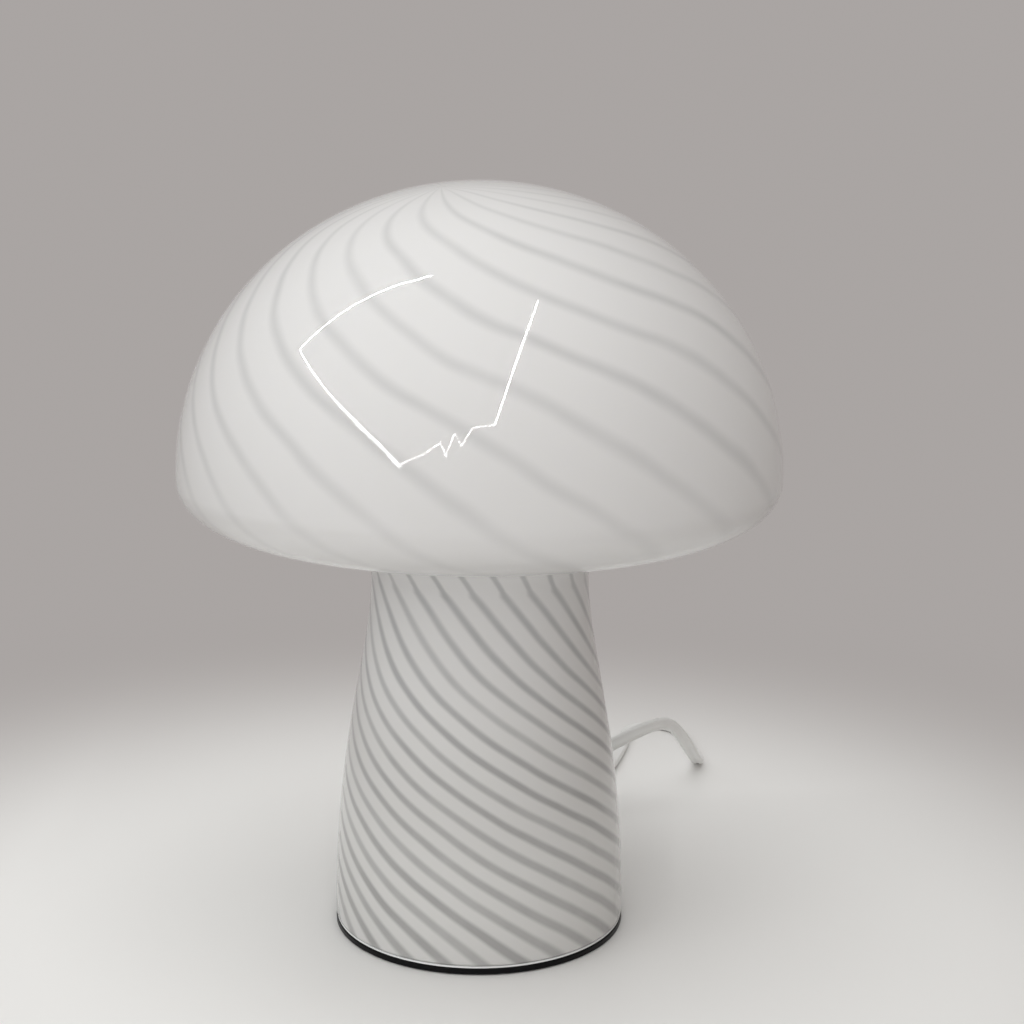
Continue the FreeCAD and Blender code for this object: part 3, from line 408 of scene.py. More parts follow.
# foot to crown as (radius, height); inset moves it into the wall
def glassOutline(shape, rings, inset):
    foot = shape["footRadius"] - inset
    neck = shape["neckRadius"] - inset
    under = shape["underHeight"] + inset
    lip = shape["lipHeight"] + inset
    side = shape["capRadius"] - inset
    crown = shape["crown"] - inset
    blend = (shape["lipRadius"] - shape["underRadius"]) / 2
    base = shape["footHeight"]
    edge = shape["edgeRound"]
    neckEnd = (neck, shape["neckHeight"])
    underEnd = (shape["underRadius"], under)
    lipEnd = (shape["lipRadius"], lip)
    widest = (side, shape["widest"])
    inner = -1 if inset else 1
    points = quarter((foot - inner * edge, base), (foot, base), (foot, base + edge), rings["edge"])
    stem = bend([(foot, base + edge), (foot, base + edge + shape["footPull"]),
                 (neck, shape["neckHeight"] - shape["neckPull"]), neckEnd], rings["stemLine"])
    arch = archFoot(shape)
    heights = [base + edge + (arch - base - edge) * k / rings["mouth"] for k in range(rings["mouth"])]
    heights += [arch + shape["mouthWidth"] / 2 * math.sin(math.pi / 2 * k / rings["arch"])
                for k in range(rings["arch"] + 1)]
    top = heights[-1]
    heights += [top + (shape["neckHeight"] - top) * k / rings["stem"] for k in range(1, rings["stem"])]
    for height in heights:
        for (r0, z0), (r1, z1) in zip(stem, stem[1:] + [neckEnd]):
            if z0 <= height <= z1:
                points.append((r0 + (r1 - r0) * (height - z0) / max(z1 - z0, 1e-9), height))
                break
    flareUp = shape["flareUp"] * (under - shape["neckHeight"])
    flareOut = shape["flareOut"] * (shape["underRadius"] - neck)
    points += bend([neckEnd, (neck, shape["neckHeight"] + flareUp),
                    (shape["underRadius"] - flareOut, under), underEnd], rings["flare"])
    points += bend([underEnd, (shape["underRadius"] + blend, under),
                    (shape["lipRadius"] - blend, lip), lipEnd], rings["under"])
    points += quarter(lipEnd, (side, lip), widest, rings["lip"])
    points += quarter(widest, (side, crown), (0, crown), rings["dome"], last=True)
    return points


def glassFaces(outer, inner, columns):
    faces = []
    for rows, way in ((outer, 1), (inner, -1)):
        for low, high in zip(rows, rows[1:]):
            for j in range(columns):
                # without the points that a narrow ring repeats
                face = dict.fromkeys((low[j], low[j + 1], high[j + 1], high[j]))
                if len(face) > 2:
                    faces.append(tuple(face)[::way])
    for j in range(columns):    # the foot's flat
        faces.append((outer[0][j + 1], outer[0][j], inner[0][j], inner[0][j + 1]))
    for k in range(len(outer) - 1):    # the mouth's two cheeks
        if outer[k][0] == outer[k][-1]:
            break
        for j, way in ((0, 1), (-1, -1)):
            face = (outer[k][j], outer[k + 1][j], inner[k + 1][j], inner[k][j])[::way]
            faces.append(tuple(dict.fromkeys(face)))
    return faces


# 0 up to start, 1 from start + reach on, and straight between
def rampUp(at, start, reach):
    return min(max((at - start) / reach, 0.0), 1.0)


def glassBody(shape):
    skins = [glassOutline(shape, glassRings, inset) for inset in (0.0, shape["wall"])]
    count = len(skins[0])
    columns = shape["columns"]
    half = shape["mouthWidth"] / 2
    arch = archFoot(shape)
    points, swirl, grain, paintedShade = [], [], [], []
    inMm = 1000
    travelled = [0.0]    # along the outside, in mm
    for a, b in zip(skins[0], skins[0][1:]):
        travelled.append(travelled[-1] + math.hypot(b[0] - a[0], b[1] - a[1]) * inMm)
    lipRing = min(range(count), key=lambda k: abs(skins[0][k][0] - shape["lipRadius"])
                  + abs(skins[0][k][1] - shape["lipHeight"]))
    neckRing = min(range(count), key=lambda k: abs(skins[0][k][1] - shape["neckHeight"]))
    heights = [height * inMm for radius, height in skins[0]]
    ups = [way - travelled[lipRing] for way in travelled]

    def halfGap(radius, height):    # half the angle that the mouth leaves open
        if height < arch:
            across = half
        elif height < arch + half - 1e-7:    # at its very top the arch is closed
            across = math.sqrt(max(half ** 2 - (height - arch) ** 2, 0.0))
        else:
            return 0.0
        return math.asin(across / radius)

    def stripeAt(ring, x, y):    # place off the pole in mm, and the stripe's way round there
        if ring <= neckRing:
            return (x * inMm, y * inMm, math.radians(between(stripes["stem"], heights[ring])))
        up = ups[ring]
        share = rampUp(up, stripes["poleFrom"], stripes["poleReach"]) ** stripes["poleEase"]
        late = rampUp(up, stripes["topFrom"], stripes["topReach"])
        late = late * late * (3 - 2 * late)
        poleX, poleY = (a + (b - a) * late for a, b in zip(stripes["pole"], stripes["topPole"]))
        px, py = x * inMm - poleX * share, y * inMm - poleY * share
        reach = up
        if up >= 0:
            reach -= (math.hypot(px, py) - math.hypot(x, y) * inMm) * stripes["slant"]
        return (px, py, math.radians(between(stripes["cap"], reach)))

    def grainAt(ring):    # how grey the stripes are, their half width and their soft edge
        if ring <= neckRing:
            at = heights[ring]
            return (1.0, between(stripes["stemWidth"], at), between(stripes["stemEdge"], at))
        at = ups[ring]
        return (between(stripes["capGrey"], at), stripes["capWidth"], between(stripes["capEdge"], at))

    # share of painted shade at a ring
    def paintedShadeAt(ring):
        if ring <= neckRing:
            return between(stripes["stemPaintedShade"], heights[ring])
        return between(stripes["capPaintedShade"], ups[ring])

    rings = []
    for skin in skins:
        rows = []
        for k, (radius, height) in enumerate(skin[:-1]):
            gap = halfGap(radius, height)
            row = []
            closed = gap == 0.0
            for j in range(columns + (0 if closed else 1)):
                angle = math.pi / 2 + gap + (2 * math.pi - 2 * gap) * j / columns
                x, y = radius * math.cos(angle), radius * math.sin(angle)
                row.append(len(points))
                points.append((x, y, height))
                swirl.append(stripeAt(k, x, y))
                grain.append(grainAt(k))
                paintedShade.append(paintedShadeAt(k))
            if closed:
                row.append(row[0])
            rows.append(row)
        rows.append([len(points)] * (columns + 1))
        points.append((0, 0, skin[-1][1]))
        swirl.append(stripeAt(count - 1, 0, 0))
        grain.append(grainAt(count - 1))
        paintedShade.append(0.0)
        rings.append(rows)
    piece = meshPiece("opalGlass", points, glassFaces(*rings, columns), "glass")
    for name, values in (("swirl", swirl), ("grain", grain)):
        layer = piece.data.attributes.new(name, "FLOAT_VECTOR", "POINT")
        layer.data.foreach_set("vector", [x for value in values for x in value])
    layer = piece.data.attributes.new("paintedShade", "FLOAT", "POINT")
    layer.data.foreach_set("value", paintedShade)
    return piece


glass = glassBody(glassShape)
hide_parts("glass_body")
print("glass blown:", len(glass.data.polygons), "faces")


# the bulb's metal cap, with its rolled thread

capThread = {
    "low": 0.06995, "shoulder": 0.07215, "high": 0.09095, "flare": 0.0009, "flareOut": 0.0005,
    "radius": 0.0131, "lowRadius": 0.01145, "wall": 0.0004,
    "pitch": 0.0254 / 7, "depth": 0.0007, "threadEnd": 0.0826,
    "runOut": 0.0012,    # the thread's depth fades over this at both ends
    "columns": 96, "steps": 84,
}


def screwCap(sizes):
    columns, steps = sizes["columns"], sizes["steps"]
    rings = [(sizes["lowRadius"], sizes["low"], 0.0)]
    for k in range(steps + 1):
        z = sizes["shoulder"] + (sizes["high"] - sizes["flare"] - sizes["shoulder"]) * k / steps
        clear = min(z - sizes["shoulder"], max(sizes["threadEnd"] - z, 0.0))
        rings.append((sizes["radius"], z, min(clear / sizes["runOut"], 1.0)))
    rings.append((sizes["radius"] + sizes["flareOut"], sizes["high"], 0.0))
    points = []
    for wall in (0.0, sizes["wall"]):
        for radius, z, ease in rings:
            height = z + wall if z == sizes["low"] else z
            for j in range(columns):
                turn = 2 * math.pi * j / columns
                wave = 0.5 - 0.5 * math.cos(2 * math.pi * (z / sizes["pitch"] - j / columns))
                r = radius - wall - sizes["depth"] * ease * wave
                points.append((r * math.cos(turn), r * math.sin(turn), height))
    count = len(rings)
    inner = count * columns    # where the inner skin's points start
    top = inner - columns
    faces = ringFaces(count, columns) + ringFaces(count, columns, inner, inward=True)
    for j in range(columns):
        a, b = j, (j + 1) % columns
        faces.append((b, a, a + inner, b + inner))
        faces.append((top + a, top + b, top + b + inner, top + a + inner))
    return meshPiece("bulbScrewCap", points, faces, "bulb")


bulbCap = screwCap(capThread)
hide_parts("bulb_screw_cap")
print("bulb cap threaded:", len(bulbCap.data.polygons), "faces")


# the ribbed bush where the lead leaves the base

bushShape = {
    "height": 0.008, "flange": 0.005, "root": 0.0042, "tip": (0.00345, 0.00235),
    "bore": (0.00275, 0.00155), "edge": 0.0003,
    "wallIn": 0.03762, "wallOut": 0.03905, "flangeThick": 0.0015, "end": 0.070,
    # along the tail, from 0 to 1: where the ribs start and stop, and where the tip starts to round
    "ribs": 8, "ribsFrom": 0.12, "ribsTo": 0.94, "tipFrom": 0.98, "tipRound": 0.0005,
    # depth of the grooves, how much of it is lost towards the tip, and half width and slope in ribs
    "ribDepth": 0.0007, "ribFade": 0.35, "grooveHalf": 0.25, "grooveSlope": 0.08,
    "columns": 40, "steps": 160,
}


def ovalRing(wide, tall, y, shape):
    turns = [2 * math.pi * j / shape["columns"] for j in range(shape["columns"])]
    return [(wide * math.cos(turn), y, shape["height"] + tall * math.sin(turn)) for turn in turns]


def ribbedBush(shape):
    flange, root, edge = shape["flange"], shape["root"], shape["edge"]
    start = shape["wallOut"] + shape["flangeThick"]
    long = shape["end"] - start
    # place along the lead, half width and half height
    stations = [(shape["wallIn"] - shape["flangeThick"], flange, flange),
                (shape["wallIn"], flange, flange), (shape["wallIn"], root, root),
                (shape["wallOut"], root, root), (shape["wallOut"], flange, flange),
                (start - edge, flange, flange), (start, flange - edge, flange - edge)]
    for k in range(shape["steps"] + 1):
        t = k / shape["steps"]
        cut = shape["tipRound"] * max(t - shape["tipFrom"], 0.0) / (1 - shape["tipFrom"])
        if shape["ribsFrom"] < t < shape["ribsTo"]:
            beat = (t - shape["ribsFrom"]) / (shape["ribsTo"] - shape["ribsFrom"]) * shape["ribs"] % 1.0
            inside = (shape["grooveHalf"] - abs(beat - 0.5)) / shape["grooveSlope"] + 0.5
            cut += shape["ribDepth"] * (1 - shape["ribFade"] * t) * min(max(inside, 0.0), 1.0)
        wide, tall = (root + (tip - root) * t - cut for tip in shape["tip"])
        stations.append((start + long * t, wide, tall))
    points = []
    for y, wide, tall in stations:
        points += ovalRing(wide, tall, y, shape)
    for y in (stations[0][0], stations[-1][0]):
        points += ovalRing(*shape["bore"], y, shape)
    around, count = shape["columns"], len(stations)
    faces = ringFaces(count, around, inward=True)
    end, first, last = (count - 1) * around, count * around, (count + 1) * around
    for j in range(around):
        n = (j + 1) % around
        faces.append((j, n, first + n, first + j))
        faces.append((end + n, end + j, last + j, last + n))
        faces.append((first + j, first + n, last + n, last + j))
    return meshPiece("ribbedBush", points, faces, "lamp_base")


bush = ribbedBush(bushShape)
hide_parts("strain_relief")
print("bush ribbed:", len(bush.data.polygons), "faces")


# finishes

class Finish:    # a material and its nodes, with short ways to add to them
    def __init__(self, name, colour, rough, metal=0.0, **more):
        self.material = bpy.data.materials.new(name)
        self.material.use_nodes = True
        self.tree = self.material.node_tree
        self.shader = self.tree.nodes["Principled BSDF"]
        self.shader.inputs["Base Color"].default_value = (*colour, 1.0)
        self.shader.inputs["Roughness"].default_value = rough
        self.shader.inputs["Metallic"].default_value = metal
        for key, value in more.items():
            self.shader.inputs[key].default_value = value

    def node(self, kind, **settings):
        made = self.tree.nodes.new(kind)
        for key, value in settings.items():
            setattr(made, key, value)
        return made

    def join(self, out, into):
        self.tree.links.new(out, into)

    def maths(self, what, a, b=None, c=None):
        made = self.node("ShaderNodeMath", operation=what)
        for socket, value in zip(made.inputs, (a, b, c)):
            if value is None:
                continue
            if isinstance(value, (int, float)):
                socket.default_value = value
            else:
                self.join(value, socket)
        return made.outputs[0]

    def noise(self, scale, detail=3.0, rough=0.5, stretch=None):
        place = self.node("ShaderNodeTexCoord").outputs["Object"]
        if stretch:
            mapping = self.node("ShaderNodeMapping")
            mapping.inputs["Scale"].default_value = stretch
            self.join(place, mapping.inputs["Vector"])
            place = mapping.outputs["Vector"]
        made = self.node("ShaderNodeTexNoise")
        made.inputs["Scale"].default_value = scale
        made.inputs["Detail"].default_value = detail
        made.inputs["Roughness"].default_value = rough
        self.join(place, made.inputs["Vector"])
        return made.outputs["Fac"]

    def spread(self, value, low, high, fromLow=0.3, fromHigh=0.7):
        made = self.node("ShaderNodeMapRange")
        made.inputs["From Min"].default_value = fromLow
        made.inputs["From Max"].default_value = fromHigh
        made.inputs["To Min"].default_value = low
        made.inputs["To Max"].default_value = high
        self.join(value, made.inputs["Value"])
        return made.outputs["Result"]

    def mix(self, share, first, second):
        made = self.node("ShaderNodeMix", data_type="RGBA")
        self.join(share, made.inputs[0])
        for socket, colour in ((made.inputs[6], first), (made.inputs[7], second)):
            if isinstance(colour, tuple):
                socket.default_value = (*colour, 1.0)
            else:
                self.join(colour, socket)
        return made.outputs[2]

    def bump(self, height, strength, distance):
        made = self.node("ShaderNodeBump")
        made.inputs["Strength"].default_value = strength
        made.inputs["Distance"].default_value = distance
        self.join(height, made.inputs["Height"])
        self.join(made.outputs["Normal"], self.shader.inputs["Normal"])

    def colour(self, out):
        self.join(out, self.shader.inputs["Base Color"])

    def roughness(self, out):
        self.join(out, self.shader.inputs["Roughness"])


opalLook = {
    "white": (0.685, 0.682, 0.675),
    # painted shade: the glass's white, darkened where the cap shades the stem
    "whiteInShade": (0.54, 0.535, 0.522),
    "grey": (0.43, 0.432, 0.435),
    # painted shade: the stripes' grey, darkened the same way
    "greyInShade": (0.305, 0.302, 0.295),
    "waver": 0.17, "waverSize": 22,         # how far a stripe wanders, in stripes; sizes are per metre
    "stripeGrey": (0.8, 1.1),               # from stripe to stripe
    "streaks": (0.82, 1.05), "streakSize": 60,
    "cloud": 0.965, "cloudSize": 9,         # of the white, in the dimmer patches
    "gloss": (0.02, 0.04), "glossSize": 35,
    "rippleSize": 14, "fineSize": 110, "fineShare": 0.10,
    "dent": -0.25,                          # of a ripple's height, where a stripe runs
    "bump": 0.12, "bumpDepth": 0.0012,
    "shader": {"IOR": 1.5, "Coat Weight": 0.35, "Coat Roughness": 0.02, "Subsurface Weight": 0.12,
               "Subsurface Radius": (0.006, 0.006, 0.005), "Subsurface Scale": 1.0},
}


def dimmed(colour, share):
    return tuple(share * channel for channel in colour)


def opalGlass(look):
    made = Finish("opal_glass", look["white"], 0.07, **look["shader"])
    way, grain = made.node("ShaderNodeSeparateXYZ"), made.node("ShaderNodeSeparateXYZ")
    for name, parts in (("swirl", way), ("grain", grain)):
        stored = made.node("ShaderNodeAttribute", attribute_name=name)
        made.join(stored.outputs["Vector"], parts.inputs[0])
    strength, width, soft = grain.outputs
    # turns counts the stripes round the pole, and away is the distance to the nearest one
    angle = made.maths("ARCTAN2", way.outputs["Y"], way.outputs["X"])
    angle = made.maths("SUBTRACT", angle, way.outputs["Z"])
    wander = made.maths("SUBTRACT", made.noise(look["waverSize"], 2.0), 0.5)
    turns = made.maths("ADD", made.maths("MULTIPLY", angle, stripes["count"] / math.tau),
                       made.maths("MULTIPLY", wander, 2 * look["waver"]))
    nearest = made.maths("FLOOR", made.maths("ADD", turns, 0.5))
    away = made.maths("ABSOLUTE", made.maths("SUBTRACT", turns, nearest))
    own = made.node("ShaderNodeTexWhiteNoise", noise_dimensions="1D")
    made.join(made.maths("FLOORED_MODULO", nearest, float(stripes["count"])), own.inputs["W"])
    edge = made.node("ShaderNodeMapRange", interpolation_type="SMOOTHSTEP")
    made.join(away, edge.inputs["Value"])
    made.join(made.maths("SUBTRACT", width, soft), edge.inputs["From Min"])
    made.join(made.maths("ADD", width, soft), edge.inputs["From Max"])
    edge.inputs["To Min"].default_value = 1.0
    edge.inputs["To Max"].default_value = 0.0
    ownGrey = made.spread(own.outputs["Value"], *look["stripeGrey"], 0.0, 1.0)
    strength = made.maths("MULTIPLY", strength, ownGrey)
    streaks = made.spread(made.noise(look["streakSize"], 4.0, 0.6), *look["streaks"])
    share = made.maths("MULTIPLY", made.maths("MULTIPLY", edge.outputs["Result"], strength), streaks)
    cloud = made.mix(made.spread(made.noise(look["cloudSize"]), 0.0, 1.0), look["white"],
                     dimmed(look["white"], look["cloud"]))
    # painted shade: the colour goes towards the darkened white and grey by the stored share
    paintedShade = made.node("ShaderNodeAttribute", attribute_name="paintedShade").outputs["Fac"]
    made.colour(made.mix(share, made.mix(paintedShade, cloud, look["whiteInShade"]),
                         made.mix(paintedShade, look["grey"], look["greyInShade"])))
    made.roughness(made.spread(made.noise(look["glossSize"]), *look["gloss"]))
    fine = made.maths("MULTIPLY", made.noise(look["fineSize"], 2.0), look["fineShare"])
    ripples = made.maths("ADD", made.noise(look["rippleSize"], 2.0), fine)
    dents = made.maths("MULTIPLY", share, look["dent"])
    made.bump(made.maths("ADD", dents, ripples), look["bump"], look["bumpDepth"])
    return made.material


glass.data.materials.append(opalGlass(opalLook))


# sizes are patches per metre, and shares are of a finish's own colour and roughness
plasticLook = {"patches": 40, "dim": 0.94, "wear": 120, "rough": (0.85, 1.2), "bump": 0.25,
               "coatRough": 0.08}
# between a strap's threads only the first share of the colour is left, as painted shade
clothLook = {"gapShade": 0.62, "wear": 300, "rough": (0.85, 1.1), "fuzz": 1500, "fuzzShare": 0.4,
             "bump": 0.5, "depth": 0.0002}
# in a thread's grooves only the groove share of the colour is left, as painted shade
threadLook = {"groove": 0.6, "wear": 200, "rough": (0.7, 1.4), "bump": 0.8}
metalLook = {"patches": 70, "dim": 0.86, "wear": 160, "rough": (0.7, 1.4), "brush": 500, "bump": 0.3}


def patchy(made, colour, look, detail):
    patches = made.spread(made.noise(look["patches"], detail), 0.0, 1.0)
    made.colour(made.mix(patches, colour, dimmed(colour, look["dim"])))


def worn(made, roughness, look, **more):
    low, high = look["rough"]
    made.roughness(made.spread(made.noise(look["wear"], 4.0, **more), roughness * low, roughness * high))


def plainPlastic(name, colour, rough, fine=900, depth=0.00004, coat=0.0, shine=0.5):
    made = Finish(name, colour, rough, **{"Coat Weight": coat, "Coat Roughness": plasticLook["coatRough"],
                                          "Specular IOR Level": shine})
    patchy(made, colour, plasticLook, 4.0)
    worn(made, rough, plasticLook)
    made.bump(made.noise(fine, 2.0), plasticLook["bump"], depth)
    return made.material


def bands(made, way, period):
    wave = made.node("ShaderNodeTexWave", bands_direction=way)
    wave.inputs["Scale"].default_value = math.tau / (20 * period)    # at scale 1 a metre is 20 radians
    made.join(made.node("ShaderNodeTexCoord").outputs["Object"], wave.inputs["Vector"])
    return wave.outputs["Fac"]


def wovenStrap(name, colour, rough, threads):
    made = Finish(name, colour, rough)
    weave = made.maths("MAXIMUM", bands(made, "X", threads[0]), bands(made, "Y", threads[1]))
    # painted shade between the threads
    made.colour(made.mix(weave, dimmed(colour, clothLook["gapShade"]), colour))
    worn(made, rough, clothLook)
    fuzz = made.maths("MULTIPLY", made.noise(clothLook["fuzz"]), clothLook["fuzzShare"])
    made.bump(made.maths("ADD", weave, fuzz), clothLook["bump"], clothLook["depth"])
    return made.material


def threadedMetal(name, colour, rough, pitch, depth):
    made = Finish(name, colour, rough, 1.0)
    thread = bands(made, "Z", pitch)
    # painted shade in the thread's grooves
    made.colour(made.mix(thread, dimmed(colour, threadLook["groove"]), colour))
    worn(made, rough, threadLook)
    made.bump(thread, threadLook["bump"], depth)
    return made.material


def brightMetal(name, colour, rough, stretch=(1, 1, 1), depth=0.00001):
    made = Finish(name, colour, rough, 1.0)
    patchy(made, colour, metalLook, 5.0)
    worn(made, rough, metalLook, rough=0.6, stretch=stretch)
    made.bump(made.noise(metalLook["brush"], 3.0, 0.6, stretch), metalLook["bump"], depth)
    return made.material


blackEnamel = plainPlastic("black_steel", (0.003, 0.003, 0.0035), 0.32, fine=300, depth=0.00003,
                           shine=0.12)
padRubber = plainPlastic("foot_pad", (0.035, 0.035, 0.036), 0.75, fine=1500, depth=0.00012)
clearSeal = plainPlastic("clear_seal", (0.72, 0.73, 0.73), 0.35)
zinc = brightMetal("plated_steel", (0.62, 0.62, 0.60), 0.28)
springSteel = brightMetal("spring_steel", (0.55, 0.55, 0.56), 0.22, stretch=(1, 1, 12))
holderWhite = plainPlastic("holder_plastic", (0.74, 0.735, 0.71), 0.4, fine=700, depth=0.00006)
ceramic = plainPlastic("holder_ceramic", (0.78, 0.765, 0.72), 0.22, fine=250, depth=0.00008, coat=0.5)
brass = brightMetal("brass", (0.78, 0.60, 0.30), 0.25)
wireSleeve = plainPlastic("copper_wire", (0.75, 0.74, 0.72), 0.4)
solder = brightMetal("solder", (0.58, 0.58, 0.6), 0.42)
blackGlass = plainPlastic("bulb_insulator", (0.015, 0.015, 0.018), 0.1, fine=300, depth=0.00003, coat=0.8)
aluminium = brightMetal("bulb_metal", (0.76, 0.76, 0.77), 0.25)
bulbWhite = plainPlastic("bulb_plastic", (0.80, 0.80, 0.79), 0.3)
diffuser = plainPlastic("bulb_diffuser", (0.84, 0.84, 0.82), 0.45, fine=1400, depth=0.00005)
boardWhite = plainPlastic("light_board", (0.82, 0.82, 0.8), 0.35)
phosphor = plainPlastic("light_chips", (0.85, 0.62, 0.12), 0.4)
boardGreen = plainPlastic("circuit_board", (0.03, 0.14, 0.05), 0.3)
canSleeve = plainPlastic("capacitor_can", (0.03, 0.03, 0.035), 0.3)
whiteFlex = plainPlastic("white_flex", (0.72, 0.72, 0.705), 0.32, fine=600, depth=0.00006, coat=0.15)
whiteRubber = plainPlastic("white_rubber", (0.70, 0.70, 0.68), 0.5, depth=0.00006)
strapCloth = wovenStrap("tie_strap", (0.66, 0.66, 0.64), 0.85, threads=(0.0008, 0.0006))
tubeThread = threadedMetal("plated_steel_thread", (0.62, 0.62, 0.60), 0.28, pitch=0.001, depth=0.0003)
shellThread = threadedMetal("contact_metal_thread", (0.78, 0.77, 0.75), 0.2, pitch=capThread["pitch"],
                            depth=0.0006)
switchWhite = plainPlastic("switch_plastic", (0.76, 0.755, 0.735), 0.3, fine=700, depth=0.00005, coat=0.2)
rockerWhite = plainPlastic("rocker_plastic", (0.79, 0.785, 0.77), 0.22, fine=700, coat=0.3)
plugWhite = plainPlastic("plug_plastic", (0.74, 0.735, 0.715), 0.35, fine=700, depth=0.00006, coat=0.1)

nodeFinish = {
    "glass_gasket": clearSeal, "base_plate": blackEnamel, "foot_pad": padRubber,
    "clip_sleeves": clearSeal, "clip_screws": zinc, "clip_nuts": zinc,
    "clip_spring_1": springSteel, "clip_spring_2": springSteel, "clip_spring_3": springSteel,
    "threaded_tube": tubeThread, "lower_nut": zinc, "lock_washer": zinc, "flat_washer": zinc,
    "upper_nut": zinc, "holder_cap": holderWhite, "holder_skirt": holderWhite,
    "holder_lock_screw": zinc, "holder_core": ceramic, "holder_screw_shell": shellThread,
    "holder_tip_contact": brass, "terminal_screws": brass, "bulb_tip": solder,
    "bulb_insulator": blackGlass, "bulb_housing": bulbWhite, "bulb_globe": diffuser,
    "led_board": boardWhite, "led_chips": phosphor, "driver_board": boardGreen,
    "driver_capacitor": canSleeve, "switch_bottom": switchWhite, "switch_top": switchWhite,
    "switch_rocker": rockerWhite, "rocker_bridge": brass, "rocker_pin": zinc,
    "switch_terminals": brass, "switch_screws": zinc, "plug_body": plugWhite, "plug_blades": brass,
}
for node, material in nodeFinish.items():
    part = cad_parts[node]
    part.data.materials.clear()
    part.data.materials.append(material)
pieceFinish = ((lampFlex, whiteFlex), (plugFlex, whiteFlex), (innerFlex, whiteFlex), (strap, strapCloth),
               (holderWires, wireSleeve), (bulbCap, aluminium), (bush, whiteRubber))
for piece, material in pieceFinish:
    piece.data.materials.append(material)
print("finishes on", len(nodeFinish), "parts")


# floor, backdrop and light

room = {
    "floor": (0.79, 0.785, 0.77),
    "floorHalf": 6.0,
    "floorRough": (0.38, 0.46),
    "floorPatches": 6,   # per metre
    "floorShine": 0.3,
    "wall": (0.40, 0.375, 0.365),
    "fadeFrom": 0.14,    # distance from the lamp where the pale floor starts to darken
    "fadeTo": 0.44,
    # the sky lights the lamp from the left; lean dims it low on the right
    "skyLeft": (0.58, 0.58, 0.572),
    "skyRight": (0.33, 0.275, 0.245),
    "skyFrom": -0.1,
    "skyTo": 0.8,
    "skyLean": -0.6,
}


# 1 for what is seen, straight or in metal and glass, and 0 for light
def seenShare(tree):
    path = tree.nodes.new("ShaderNodeLightPath")
    share = path.outputs["Is Camera Ray"]
    for ray in ("Is Glossy Ray", "Is Transmission Ray"):
        either = tree.nodes.new("ShaderNodeMath")
        either.operation = "MAXIMUM"
        tree.links.new(share, either.inputs[0])
        tree.links.new(path.outputs[ray], either.inputs[1])
        share = either.outputs[0]
    return share


def floorSheet():
    half = room["floorHalf"]
    corners = [(-half, -half, 0), (half, -half, 0), (half, half, 0), (-half, half, 0)]
    mesh = bpy.data.meshes.new("floor")
    mesh.from_pydata(corners, [], [(0, 1, 2, 3)])
    sheet = bpy.data.objects.new("floor", mesh)
    scene.collection.objects.link(sheet)
    made = Finish("floor", room["floor"], 0.42, **{"Specular IOR Level": room["floorShine"]})
    made.roughness(made.spread(made.noise(room["floorPatches"], 2.0), *room["floorRough"]))
    place = made.node("ShaderNodeTexCoord").outputs["Object"]
    reach = made.node("ShaderNodeVectorMath", operation="LENGTH")
    made.join(place, reach.inputs[0])
    fade = made.spread(reach.outputs["Value"], 0.0, 1.0, room["fadeFrom"], room["fadeTo"])
    fade.node.interpolation_type = "SMOOTHSTEP"
    made.colour(made.mix(fade, room["floor"], room["wall"]))
    far = made.node("ShaderNodeEmission")
    far.inputs["Color"].default_value = (*room["wall"], 1.0)
    mixer = made.node("ShaderNodeMixShader")
    made.join(made.maths("MULTIPLY", fade, seenShare(made.tree)), mixer.inputs[0])
    made.join(made.shader.outputs[0], mixer.inputs[1])
    made.join(far.outputs[0], mixer.inputs[2])
    made.join(mixer.outputs[0], made.tree.nodes["Material Output"].inputs["Surface"])
    sheet.data.materials.append(made.material)


floorSheet()
print("floor laid")


def roomLight():
    world = bpy.data.worlds.new("room")
    scene.world = world
    world.use_nodes = True
    tree = world.node_tree
    join = tree.links.new
    lit, seen = tree.nodes["Background"], tree.nodes.new("ShaderNodeBackground")
    place = tree.nodes.new("ShaderNodeTexCoord")
    split = tree.nodes.new("ShaderNodeSeparateXYZ")
    join(place.outputs["Generated"], split.inputs[0])
    lean = tree.nodes.new("ShaderNodeMath")
    lean.operation = "MULTIPLY_ADD"
    join(split.outputs["Z"], lean.inputs[0])
    lean.inputs[1].default_value = room["skyLean"]
    join(split.outputs["X"], lean.inputs[2])
    across = tree.nodes.new("ShaderNodeMapRange")
    across.interpolation_type = "SMOOTHSTEP"
    across.inputs["From Min"].default_value = room["skyFrom"]
    across.inputs["From Max"].default_value = room["skyTo"]
    join(lean.outputs[0], across.inputs["Value"])
    sky = tree.nodes.new("ShaderNodeMix")
    sky.data_type = "RGBA"
    join(across.outputs["Result"], sky.inputs[0])
    sky.inputs[6].default_value = (*room["skyLeft"], 1.0)
    sky.inputs[7].default_value = (*room["skyRight"], 1.0)
    join(sky.outputs[2], lit.inputs["Color"])
    seen.inputs["Color"].default_value = (*room["wall"], 1.0)
    mixer = tree.nodes.new("ShaderNodeMixShader")
    join(seenShare(tree), mixer.inputs[0])
    join(lit.outputs[0], mixer.inputs[1])
    join(seen.outputs[0], mixer.inputs[2])
    join(mixer.outputs[0], tree.nodes["World Output"].inputs[0])


roomLight()

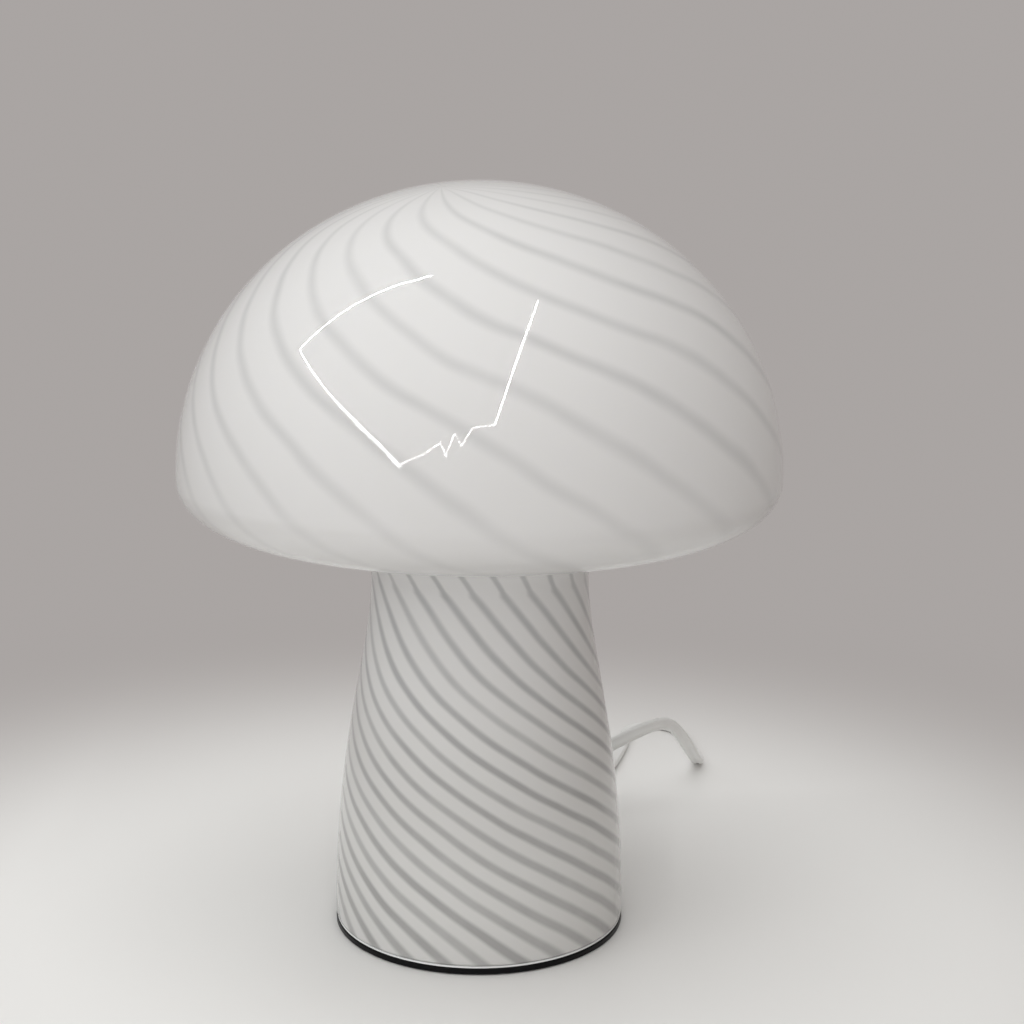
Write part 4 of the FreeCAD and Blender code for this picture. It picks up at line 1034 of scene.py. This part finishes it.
# area lamps: long is the way the first side of size runs, over the place they shine at, power in watts
lamps = {
    "windowLeft": {"middle": (-1.5, -1.0, 1.3), "long": (1, -1, 0), "over": (0, 0, 0.12),
                   "size": (1.2, 1.0), "power": 4.5},
    "ceiling": {"middle": (0.0, 0.1, 2.2), "long": (1, 0, 0), "over": (0, 0, 0.1),
                "size": (1.6, 1.6), "power": 9.5},
    "behind": {"middle": (0.5, 1.8, 0.7), "long": (1, 0, 0), "over": (0, 0, 0.1),
               "size": (1.2, 0.8), "power": 2.5},
    "front": {"middle": (-0.25, -1.65, 0.35), "long": (1, 0, 0), "over": (0, 0, 0.1),
              "size": (1.2, 0.8), "power": 6.2},
}


def lampPanel(name, middle, long, over, size, power, mirrored=False):
    lamp = bpy.data.lights.new(name, "AREA")
    lamp.shape = "RECTANGLE"
    lamp.size, lamp.size_y = size
    lamp.energy = power
    holder = bpy.data.objects.new(name, lamp)
    scene.collection.objects.link(holder)
    back = (Vector(middle) - Vector(over)).normalized()
    along = (Vector(long) - back * back.dot(Vector(long))).normalized()
    turned = Matrix((along, back.cross(along), back)).transposed()
    holder.matrix_world = Matrix.Translation(middle) @ turned.to_4x4()
    holder.visible_camera = False
    holder.visible_glossy = mirrored


for name, lamp in lamps.items():
    lampPanel(name, **lamp)

thinTubes = {    # thin light tubes in the room, which the glass mirrors as fine bright lines
    "straight": [((-0.235, -0.002, 1.199), (-0.854, -0.008, 0.799), 0.006),
                 ((-0.854, -0.008, 0.799), (-0.497, -0.947, 0.397), 0.004),
                 ((0.294, -0.185, 1.173), (0.091, -0.962, 0.677), 0.006)],
    # the tube between the other two, which ripples in the glass break up: share of the way, and rise
    "zigzag": [(0, 0), (0.30, 0), (0.43, 0.03), (0.50, -0.08), (0.58, 0.05), (0.66, -0.06),
               (0.76, 0.04), (1, 0)],
    "zigzagFrom": (-0.497, -0.947, 0.397), "zigzagTo": (0.091, -0.962, 0.677), "zigzagWide": 0.002,
    "over": (0, -0.05, 0.2),
    "power": 240.0,    # watts per square metre
}


def lightTubes(tubes):
    first, last = Vector(tubes["zigzagFrom"]), Vector(tubes["zigzagTo"])
    corners = [first.lerp(last, share) + Vector((0, 0, rise)) for share, rise in tubes["zigzag"]]
    runs = list(tubes["straight"])
    runs += [(one, other, tubes["zigzagWide"]) for one, other in zip(corners, corners[1:])]
    for number, (start, end, wide) in enumerate(runs):
        start, end = Vector(start), Vector(end)
        long = (end - start).length
        lampPanel("thinTube" + str(number), (start + end) / 2, end - start, tubes["over"], (long, wide),
                  tubes["power"] * long * wide, mirrored=True)


lightTubes(thinTubes)
print("lights placed")
